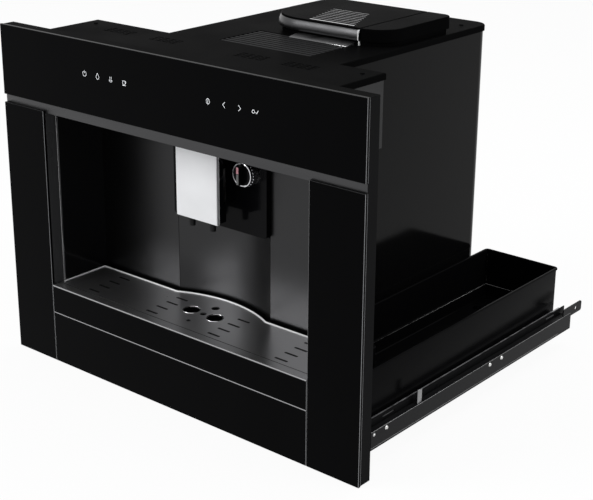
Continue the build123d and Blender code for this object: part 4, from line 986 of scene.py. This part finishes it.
@dataclass
class DripTray(SubAssembly):
    """Sheet, painted shade in the slots and along the crease, raised rim painted as a highlight, front fold
    and rolled drain lips of the drip grid.
    """

    rim: float = 1.25
    rim_inset: float = 1.5
    rim_start: float = -2.0
    lip: float = 0.45
    lip_out: float = 0.3
    skin: float = 0.3
    proud: float = 0.03
    fold: float = 0.7
    crease: float = 13.0
    crease_end: float = 6.0
    crease_radius: float = 0.4
    slot: tuple[float, float] = (20.0, 3.6)
    slot_x: tuple[float, ...] = (-163.0, -54.0, 54.0, 163.0)
    first_y: float = 0.6
    pitch: float = 18.4
    rows: int = 4
    drain: float = 11.0
    drain_x: float = 20.5
    drain_y: float = 39.0
    small: Pairs = ((62.0, 5.5), (39.0, 4.5), (12.0, 3.0))
    arc_radius: float = 170.3
    arc_centre: float = -78.8
    arc_steps: int = 24
    flat_rear: float = 72.5

    def rear_edge(self, inside: float, half: float, z: float) -> list[Point]:
        """Rear line of the tray, straight at the sides and curved in the middle.

        Args:
            inside: Distance inside the tray's edge.
            half: Half of the line's length.
            z: Height.

        Returns:
            Its points from right to left.
        """
        radius = self.arc_radius - inside
        rear = self.flat_rear - inside
        reach = math.sqrt(radius**2 - (rear - self.arc_centre) ** 2)
        limit = math.degrees(math.asin(reach / radius))
        points = [(half, rear, z)]
        for step in range(self.arc_steps + 1):
            turn = math.radians(limit - 2 * limit * step / self.arc_steps)
            points.append((radius * math.sin(turn), self.arc_centre + radius * math.cos(turn), z))
        return [*points, (-half, rear, z)]

    def sheet(self) -> Piece:
        """Unbroken top sheet with its drains.

        Returns:
            The piece.
        """
        x, y, (_, top) = spans("drip_grid")
        rear = self.rear_edge(0.0, x[1], top)
        loops = [[*rear, (x[0], y[0] + self.fold, top), (x[1], y[0] + self.fold, top)]]
        loops += [circle(side * self.drain_x, self.drain_y, self.drain, top) for side in (-1, 1)]
        loops += [circle(0, place, radius, top) for place, radius in self.small]
        work = Workpiece("grid_sheet", "drip_grid", SHEET, "steel")
        edges = []
        for loop in loops:
            verts = [work.mesh.verts.new(place) for place in loop]
            edges += [work.mesh.edges.new(pair) for pair in zip(verts, [*verts[1:], verts[0]])]
        bmesh.ops.triangle_fill(work.mesh, use_beauty=True, use_dissolve=False, edges=edges)
        raised = bmesh.ops.extrude_face_region(work.mesh, geom=work.mesh.faces[:])["geom"]
        verts = [part for part in raised if isinstance(part, bmesh.types.BMVert)]
        bmesh.ops.translate(work.mesh, vec=(0, 0, self.skin), verts=verts)
        return work.finish()

    def slots(self, top: float) -> Piece:
        """Black inlays that stand in for the slot holes: painted shade inside the slots.

        Args:
            top: Height of the sheet's upper face.

        Returns:
            The piece.
        """
        work = Workpiece("grid_slot_painted_shade", "drip_grid", BLACK, "black_plastic")
        length, width = self.slot
        for x in self.slot_x:
            for row in range(self.rows):
                y = self.first_y + row * self.pitch
                work.block(about(x, length / 2), about(y, width / 2), (top - SUNK, top + self.proud),
                           round_off=width / 2 - 0.1, segments=6, pick=upright)
        return work.finish()

    def build(self) -> list[Piece]:
        """Build sheet, slot shade, front fold, rim with its painted highlight, crease shade and the drains'
        lips.

        Returns:
            The objects made.
        """
        x, y, z = spans("drip_grid")
        top = z[1] + self.skin
        half = x[1] - self.rim_inset
        rear = self.rear_edge(self.rim_inset, half, top)
        rim = [(half, self.rim_start, top), *rear, (-half, self.rim_start, top)]
        crease = [(place, y[0] + self.crease, top) for place in about(0.0, half - self.crease_end)]
        lips = [circle(side * self.drain_x, self.drain_y, self.drain + self.lip_out, top) for side in (-1, 1)]
        fold = (x, (y[0], y[0] + self.fold), (z[1] - SUNK, top))
        # Black bead along the crease: painted shade in the groove.
        crease_shade = Workpiece("grid_crease_painted_shade", "drip_grid", BLACK, "black_plastic")
        return [
            self.sheet(),
            self.slots(top),
            Workpiece("grid_fold", "drip_grid", FOLD, "steel").blocks([fold], 0.15),
            # The rim's near-white coat is a painted highlight.
            Workpiece("grid_rim_painted_highlight", "drip_grid", RIM_HIGHLIGHT, "steel").bead([rim], self.rim, closed=False),
            crease_shade.bead([crease], self.crease_radius, closed=False),
            Workpiece("grid_lips", "drip_grid", BRIGHT, "steel").bead(lips, self.lip, closed=True),
        ]


@dataclass
class Spout(SubAssembly):
    """Smooth silver cover of the spout, with thin strips of painted highlight on the rear edges of its
    flanks.
    """

    edge: float = 1.2
    sheet: float = 1.2
    return_depth: float = 5.2
    flank_inset: float = 0.4
    line: float = 0.7
    line_inset: float = 0.6
    proud: float = 0.03
    behind: float = 0.1

    def build(self) -> list[Piece]:
        """Build the cover and the painted-highlight strips on its edges.

        Returns:
            The objects made.
        """
        x, y, z = spans("spout_cover")
        rear = y[0] + self.return_depth
        cover = Workpiece("spout_shell", "spout", SILVER, "silver", ("spout_cover",))
        cover.block(x, (y[0], y[0] + 3 * self.sheet), z, self.edge, segments=4, pick=facing(y[0]))
        lines = []
        for side in (-1, 1):
            cover.block((side * x[1], side * (x[1] - self.sheet)), (y[0] + self.edge, rear),
                        inset(z, self.flank_inset), round_off=0.3)
            lines.append(((side * (x[1] - self.line), side * (x[1] + self.proud)),
                          (rear - self.line, rear + self.behind), inset(z, self.line_inset)))
        # Bright steel strips at the flanks' rear edges: painted highlight.
        edges = Workpiece("spout_edge_painted_highlights", "spout", BRIGHT, "silver")
        return [cover.finish(), edges.blocks(lines, 0.1, segments=1)]


@dataclass
class SteamKnob(SubAssembly):
    """Chromed ring with a fluted edge, grip with its bar, red mark and pale line.

    Profiles are pairs of a distance along the axis and a distance inside the ring's edge.
    """

    front: Pairs = (
        (1.2, 3.2), (0.2, 2.6), (0.0, 1.6), (0.4, 0.7), (1.6, 0.1), (3.0, 0.0), (5.0, 0.9),
    )
    rear: Pairs = ((4.0, 0.9), (2.0, 0.0), (0.0, 0.0), (0.0, 3.2))
    flutes: int = 24
    flute: float = 0.9
    flute_inset: float = 0.8
    flute_ends: tuple[float, float] = (5.2, 4.2)
    bore: float = 3.3
    spindle: float = 4.0
    tip: float = 0.01
    bar: float = 2.3
    mark: float = 1.7

    def build(self) -> list[Piece]:
        """Build ring, flutes, grip, mark and line.

        Returns:
            The objects made.
        """
        x, y, z = spans("knob_ring")
        centre = ((x[0] + x[1]) / 2, y[0], (z[0] + z[1]) / 2)
        outer, depth = (x[1] - x[0]) / 2, y[1] - y[0]
        ring = Workpiece("knob_rim", "steam_knob", CHROME, "chrome", ("knob_ring",))
        profile = [(along, outer - inside) for along, inside in self.front]
        profile += [(depth - back, outer - inside) for back, inside in self.rear]
        ring.lathe(centre, [*profile, profile[0]], steps=64)
        flutes = []
        for step in range(self.flutes):
            turn, reach = 2 * math.pi * step / self.flutes, outer - self.flute_inset
            place = (centre[0] + reach * math.cos(turn), centre[2] + reach * math.sin(turn))
            ends = (y[0] + self.flute_ends[0], y[1] - self.flute_ends[1])
            flutes.append((*((place[0], end, place[1]) for end in ends), self.flute, self.flute))
        _, grip_y, _ = spans("knob_grip")
        inner, back = outer - self.bore, grip_y[1] - y[0]
        grip = Workpiece("knob_handle", "steam_knob", GLOSS, "gloss_black", ("knob_grip",))
        grip.lathe(centre, [
            (2.6, self.tip), (2.2, self.spindle), (1.6, inner - 1.0), (1.9, inner), (depth, inner),
            (depth, self.spindle), (back, self.spindle), (back, self.tip),
        ], steps=48)
        grip.block(about(centre[0], self.bar), (grip_y[0], y[0] + 3.0), about(centre[2], inner - 0.4),
                   round_off=1.1, segments=4)
        width = about(centre[0], self.mark)
        red = (width, (grip_y[0] - 0.25, grip_y[0] + 1.0), (centre[2] + 3.0, centre[2] + inner - 1.6))
        pale = (width, (grip_y[0] - 0.2, grip_y[0] + 1.0), (centre[2] - inner + 1.8, centre[2] + 2.4))
        return [
            ring.finish(),
            Workpiece("knob_flutes", "steam_knob", CHROME, "chrome").rods(flutes, sides=8),
            grip.finish(),
            Workpiece("knob_mark", "steam_knob", RED, "gloss_black").blocks([red], 0.2),
            Workpiece("knob_line", "steam_knob", POINTER, "chrome").blocks([pale], 0.2),
        ]


@dataclass
class TopDeck(SubAssembly):
    """Dark metal skirt, slats and seam of the bean lid, the foot round its plinth and the cover's screws,
    with a painted highlight on each seam.

    Skirt and foot are pairs of an inset from the lid's plan and a height above the band's base.
    """

    skirt: Pairs = (
        (1.0, 0.3), (-2.2, 0.5), (-3.0, 2.6), (-3.0, 5.0), (-2.4, 8.6), (-1.2, 11.8), (0.4, 14.2),
        (2.2, 15.5), (1.0, 12.0),
    )
    skirt_rear: float = 30.0
    skirt_left: float = -9.0
    foot: Pairs = (
        (1.2, 3.4), (-1.6, 3.2), (-10.0, 2.0), (-16.2, 0.7), (-17.0, 0.05), (1.2, 0.05),
    )
    foot_ends: Point = (88.0, 300.0, -6.0)
    front_corner: float = 60.0
    rear_corner: float = 30.0
    line_left: float = 56.0
    seam: float = 1.5
    slat_x: Span = (8.0, 80.0)
    slat_y: Span = (238.0, 310.0)
    slats: int = 9
    slat_half: tuple[float, float] = (1.0, 0.5)
    lean: tuple[float, float] = (0.25, 0.43)
    proud: float = 0.03
    screws: Pairs = (
        (-262.0, 20.0), (-262.0, 112.0), (189.0, 20.0), (189.0, 112.0), (-118.0, 400.0), (118.0, 425.0),
    )
    screw_height: float = 1.1
    screw_radii: tuple[float, float] = (3.2, 2.3)

    def corners(self, inside: float, right: float) -> list[Point]:
        """Corners of the bean lid's plan.

        Args:
            inside: How far the plan is drawn in.
            right: X at which it is cut off.

        Returns:
            X, Y and radius of each.
        """
        (left, _), (front, rear) = (inset(span, inside) for span in spans("bean_lid")[:2])
        return [(left, front, self.front_corner - inside), (right, front, 0.0), (right, rear, 0.0),
                (left, rear, self.rear_corner - inside)]

    def band(self, work: Workpiece, levels: Sequence[Span], base: float, ends: Point) -> Piece:
        """Band round the free edges of the bean lid's plan.

        Args:
            work: The piece to shape.
            levels: Pairs of (inset, height above base) round the band's section.
            base: Height that the levels start from.
            ends: X of its right end, Y of its rear end and X of its left end.

        Returns:
            The piece's object.
        """
        right, rear, left = ends
        loops = []
        for inside, rise in [*levels, levels[0]]:
            edges = work.outline(self.corners(inside, right), base + rise, segments=14)
            split = []
            for edge in edges:
                first, last = (vert.co for vert in edge.verts)
                past_side = min(first.x, last.x) > right - NEAR or max(first.x, last.x) < left + NEAR
                if past_side or min(first.y, last.y) > rear:
                    split.append(edge)
            loops.append([edge for edge in edges if edge not in split])
            bmesh.ops.delete(work.mesh, geom=split, context="EDGES")
        work.wrap(loops)
        bmesh.ops.remove_doubles(work.mesh, verts=work.mesh.verts, dist=MERGE)
        bmesh.ops.holes_fill(work.mesh, edges=work.mesh.edges, sides=20)
        return work.finish()

    def bands(self) -> list[Piece]:
        """Skirt of the bean lid, foot of the plinth with its bright line, and a painted highlight on the seam
        of each.

        Returns:
            The objects made.
        """
        x, y, z = spans("bean_lid")
        base = spans("lid_plinth")[2][0]
        skirt = Workpiece("lid_skirt", "bean_lid", SKIRT, "silver")
        foot = Workpiece("plinth_foot", "machine", FOOT, "silver")
        width = (x[1] - self.seam, x[1])
        seam = (width, (y[0] - 3.4, y[0] + 1.0), (z[0] + 0.6, z[1] - 2.2))
        low_seam = (width, (y[0] - 1.0, y[0] + 1.6), (base + 0.1, base + 5.8))
        line = ((self.line_left, self.foot_ends[0]), (y[0] - 18.0, y[0] - 16.8), (base + 0.05, base + 0.9))
        return [
            self.band(skirt, self.skirt, z[0], (x[1], y[1] - self.skirt_rear, x[0] + self.skirt_left)),
            # White strips at the lid's and the plinth's seam: painted highlight.
            Workpiece("lid_seam_painted_highlight", "bean_lid", SEAM_HIGHLIGHT, "silver").blocks([seam], 0.3),
            self.band(foot, self.foot, base, self.foot_ends),
            Workpiece("plinth_line", "machine", BRIGHT, "steel").blocks([line], 0.2),
            Workpiece("plinth_seam_painted_highlight", "machine", SEAM_HIGHLIGHT, "silver").blocks([low_seam], 0.3),
        ]

    def slat_rows(self) -> list[Piece]:
        """Rows of bright slats on the lid, the front one the widest.

        Returns:
            The objects made.
        """
        top = spans("bean_lid")[2][1]
        step = (self.slat_y[1] - self.slat_y[0]) / (self.slats - 1)
        slats = []
        for row in range(self.slats):
            back = row * step
            x = (self.slat_x[0] - self.lean[0] * back, self.slat_x[1] - self.lean[1] * back)
            y = about(self.slat_y[0] + back, self.slat_half[row > 0])
            slats.append((x, y, (top - 2 * SUNK, top + self.proud)))
        front = Workpiece("lid_slats_front", "bean_lid", BRIGHT, "steel")
        rear = Workpiece("lid_slats_rear", "bean_lid", SLAT, "steel")
        return [front.blocks(slats[:1], 0.02, segments=1), rear.blocks(slats[1:], 0.02, segments=1)]

    def build(self) -> list[Piece]:
        """Build screws, skirt, foot, the painted highlights on the lid and plinth seam, and slats.

        Returns:
            The objects made.
        """
        deck = spans("top_cover")[2][1]
        heads = [((x, y, deck - SUNK), (x, y, deck + self.screw_height), *self.screw_radii)
                 for x, y in self.screws]
        screws = Workpiece("cover_screws", "machine", HOUSING, "body_grey").rods(heads)
        return [screws, *self.bands(), *self.slat_rows()]


@dataclass
class WaterTank(SubAssembly):
    """L-shaped open tank with rounded walls, a ledge inside and a rolled rim."""

    left: float = 147.0
    nose_left: float = 226.0
    front: float = 100.0
    corner: float = 6.0
    inner_corner: float = 0.6
    rim: float = 1.5
    wall: float = 2.2
    ledge: float = 3.0
    ledge_z: float = 40.0
    fillet: float = 0.8
    bottom_fillet: float = 1.2

    def corners(self, inside: float) -> list[Point]:
        """Corners of the plan.

        Args:
            inside: How far the plan is drawn in.

        Returns:
            X, Y and radius of each.
        """
        (_, right), (front, rear) = (inset(span, inside) for span in spans("water_tank")[:2])
        left, nose, step = self.left + inside, self.nose_left + inside, self.front + inside
        out = max(self.inner_corner, self.corner - inside)
        return [(nose, front, out), (right, front, out), (right, rear, out), (left, rear, out),
                (left, step, out), (nose, step, self.corner + inside)]

    def levels(self) -> list[tuple[float, float]]:
        """Section of the wall from the floor's edge inside over the rim to the underside.

        Returns:
            Pairs of (inset from the plan, height).
        """
        low, high = spans("water_tank")[2]
        inner = self.rim + self.wall
        sump, floor, soft, round_in = inner + self.ledge, low + self.wall, self.fillet, self.bottom_fillet
        return [
            (sump + round_in, floor), (sump, floor + round_in), (sump, self.ledge_z - soft),
            (sump - soft, self.ledge_z), (inner + soft, self.ledge_z), (inner, self.ledge_z + soft),
            (inner, high - 1.0), (inner - 0.6, high - 0.2), (inner - 1.2, high), (0.8, high),
            (0.2, high - 0.4), (0.0, high - 1.0), (0.0, high - 2.6), (0.5, high - 3.0),
            (self.rim, high - 3.2), (self.rim, low + 2.5), (self.rim + 0.7, low + 0.8), (self.rim + 2.4, low),
        ]

    def build(self) -> list[Piece]:
        """Build the tank's shell and its thin lines of painted highlight.

        Returns:
            The objects made.
        """
        low, high = spans("water_tank")[2]
        inner = self.rim + self.wall
        shell = Workpiece("tank_shell", "water_tank", TANK, "tank_black", ("water_tank",))
        levels = self.levels()
        shell.wrap([shell.outline(self.corners(inside), height, 6, index in (0, len(levels) - 1))
                    for index, (inside, height) in enumerate(levels)])
        ledge = [(x, y, self.ledge_z + 0.1) for x, y, _ in self.corners(inner + self.ledge - 0.2)]
        x, y, _ = self.corners(inner + 2.1)[3]
        uprights = [[(x, y, start), (x, y, end)]
                    for start, end in ((self.ledge_z + 4.0, high - 6.0), (low + 6.0, self.ledge_z - 3.0))]
        # Beads along the ledge and up the rear-left inner corner: painted highlight.
        line = Workpiece("tank_ledge_painted_highlight", "water_tank", TANK_HIGHLIGHT, "tank_black")
        corner = Workpiece("tank_corner_painted_highlights", "water_tank", TANK_HIGHLIGHT, "tank_black")
        return [
            shell.finish(), line.bead([ledge], 0.35, closed=True), corner.bead(uprights, 0.5, closed=False),
        ]


@dataclass
class Rails(SubAssembly):
    """Strips of painted highlight along the edges, screws and spring clips of the telescopic rails."""

    screws: Pairs = ((30.0, 1.4), (54.0, 2.7), (279.0, 2.7), (307.0, 2.7))
    screw_z: float = 19.0
    head: float = 1.2
    taper: float = 0.9
    clip_y: Span = (118.0, 127.0)
    clip_z: Span = (23.8, 42.0)
    clip_depth: Span = (2.2, 1.2)
    web_top: float = 23.6
    strip: float = 0.5
    strip_depth: Span = (0.9, -0.15)

    def build(self) -> list[Piece]:
        """Build the fittings of both rails.

        Returns:
            The objects made.
        """
        made = []
        for name, side in (("right", 1), ("left", -1)):
            x, y, z = spans(f"cabinet_rail_{name}")
            face = x[side > 0]
            heads = [((face, place, self.screw_z), (face + side * self.head, place, self.screw_z), radius,
                      radius - self.taper) for place, radius in self.screws]
            # Bright steel strips along the rail's upper and lower edges: painted highlight.
            depth = tuple(face - side * part for part in self.strip_depth)
            strips = [(depth, (y[0], y[1] - short), (low, low + self.strip))
                      for low, short in ((self.web_top - 0.4, 30.0), (z[0] + 2.4, 62.0))]
            clip = (tuple(face - side * part for part in self.clip_depth), self.clip_y, self.clip_z)
            made += [
                Workpiece(f"rail_screws_{name}", "cabinet_rails", SCREW, "steel").rods(heads),
                Workpiece(f"rail_edges_{name}", "cabinet_rails", FOLD, "steel").blocks(strips, 0.12),
                Workpiece(f"rail_clip_{name}", "machine", FOLD, "steel").blocks([clip], 0.3),
            ]
        return made


@dataclass
class RearPanel(SubAssembly):
    """Screws of the rear panel."""

    columns: tuple[float, ...] = (-66.0, 99.0)
    rows: tuple[float, ...] = (30.0, 220.0, 395.0)
    sunk: float = 0.3
    head: float = 1.4
    radii: tuple[float, float] = (3.6, 2.6)

    def build(self) -> list[Piece]:
        """Build the screws.

        Returns:
            The object made, in a list.
        """
        rear = spans("core_rear_panel")[1][1]
        heads = [((x, rear - self.sunk, z), (x, rear + self.head, z), *self.radii)
                 for x in self.columns for z in self.rows]
        return [Workpiece("rear_screws", "machine", SCREW, "steel").rods(heads)]


@dataclass
class Studio:
    """Camera at the photograph's angle, soft lamps, pale floor and a white background."""

    azimuth: float = 40.97
    elevation: float = 19.42
    distance: float = 1.877
    target: Point = (-0.0568, 0.228, 0.1520)
    lens: float = 82.33
    shift: tuple[float, float] = (0.05, -0.05)
    floor_z: float = -0.0225
    floor_size: float = 14.0
    floor_tone: float = 0.93
    sky_light: float = 0.55
    lamps: tuple[tuple[Point, Point, float, float], ...] = (
        ((-1.3, -1.9, 1.7), (0.0, 0.1, 0.2), 1.4, 40.0),
        ((1.9, 0.6, 1.5), (0.1, 0.25, 0.15), 1.2, 14.0),
        ((0.1, 1.6, 2.0), (0.0, 0.2, 0.3), 1.2, 12.0),
    )

    def camera(self) -> None:
        """Set up the camera."""
        turn, rise = math.radians(self.azimuth), math.radians(self.elevation)
        back = Vector((math.sin(turn) * math.cos(rise), -math.cos(turn) * math.cos(rise), math.sin(rise)))
        data = bpy.data.cameras.new("camera")
        data.lens = self.lens
        data.sensor_width = 36.0
        data.shift_x, data.shift_y = self.shift
        camera = bpy.data.objects.new("camera", data)
        camera.location = Vector(self.target) + back * self.distance
        camera.rotation_mode = "QUATERNION"
        camera.rotation_quaternion = (-back).to_track_quat("-Z", "Y")
        bpy.context.scene.collection.objects.link(camera)
        bpy.context.scene.camera = camera

    def light(self) -> None:
        """Hang the lamps."""
        for number, (place, aim, size, watts) in enumerate(self.lamps):
            data = bpy.data.lights.new(f"softbox_{number}", "AREA")
            data.shape = "SQUARE"
            data.size = size
            data.energy = watts
            lamp = bpy.data.objects.new(f"softbox_{number}", data)
            lamp.location = place
            lamp.rotation_mode = "QUATERNION"
            lamp.rotation_quaternion = (Vector(aim) - Vector(place)).to_track_quat("-Z", "Y")
            bpy.context.scene.collection.objects.link(lamp)

    def world(self) -> None:
        """White world for the camera and for reflections, softer as a light."""
        world = bpy.data.worlds.new("studio")
        world.use_nodes = True
        nodes = Wiring(world.node_tree)
        lit = nodes.add("Background", {"Color": (0.96, 0.98, 1.0, 1.0), "Strength": self.sky_light})
        seen = nodes.add("Background", {"Color": (1.0, 1.0, 1.0, 1.0)})
        mixed = nodes.blend(nodes.rays("Camera", "Glossy", "Transmission"), lit.outputs[0], seen.outputs[0])
        nodes.wire(mixed, nodes.add("OutputWorld").inputs["Surface"])
        bpy.context.scene.world = world

    def floor(self) -> None:
        """Pale floor that keeps a soft shadow."""
        mesh = bmesh.new()
        bmesh.ops.create_grid(mesh, x_segments=1, y_segments=1, size=self.floor_size / 2)
        bmesh.ops.translate(mesh, vec=(0, 0, self.floor_z), verts=mesh.verts)
        data = bpy.data.meshes.new("floor")
        mesh.to_mesh(data)
        mesh.free()
        floor = bpy.data.objects.new("floor", data)
        bpy.context.scene.collection.objects.link(floor)
        material = bpy.data.materials.new("studio_floor")
        material.use_nodes = True
        nodes = Wiring(material.node_tree)
        pale = nodes.add("BsdfPrincipled", {
            "Base Color": (*[self.floor_tone] * 3, 1.0), "Roughness": 0.9, "Specular IOR Level": 0.0})
        share = nodes.add("Math", {1: self.floor_tone}, operation="MULTIPLY")
        nodes.wire(nodes.rays("Camera", "Glossy"), share.inputs[0])
        mixed = nodes.blend(share.outputs[0], pale.outputs[0], nodes.add("Emission").outputs[0])
        nodes.wire(mixed, nodes.add("OutputMaterial").inputs["Surface"])
        data.materials.append(material)

    def build(self) -> None:
        """Set up camera, lamps, world and floor."""
        bpy.context.scene.view_settings.view_transform = "Standard"
        self.camera()
        self.light()
        self.world()
        self.floor()


@dataclass
class CoffeeMachine:
    """The whole machine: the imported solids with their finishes, and the fine parts on them."""

    frame: dict[str, Any]
    parts: list[SubAssembly] = field(default_factory=lambda: [
        Fascia(), Cavity(), DripTray(), Spout(), SteamKnob(), TopDeck(), WaterTank(), Rails(), RearPanel(),
    ])

    def dress_nodes(self) -> None:
        """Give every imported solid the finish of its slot, or its own."""
        slots = {part["node"]: part["material_slot"] for part in self.frame["record"]["subparts"]}
        for name, node in self.frame["nodes"].items():
            finish = NODE_FINISH.get(name, SLOT_FINISH[slots[name]])
            if not node.material_slots:
                node.data.materials.append(None)
            for slot in node.material_slots:
                slot.material = material_of(finish)

    def build(self) -> None:
        """Dress the solids and build the fine parts in order."""
        self.dress_nodes()
        for part in self.parts:
            for piece in part.build():
                LOG.info("%s: %s, %d faces", type(part).__name__, piece.name, len(piece.data.polygons))


def main() -> None:
    """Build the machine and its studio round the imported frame."""
    logging.basicConfig(level=logging.INFO, format="%(name)s %(message)s")
    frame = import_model()
    CoffeeMachine(frame).build()
    Studio().build()
    bpy.context.view_layer.update()


if __name__ == "__main__":
    main()
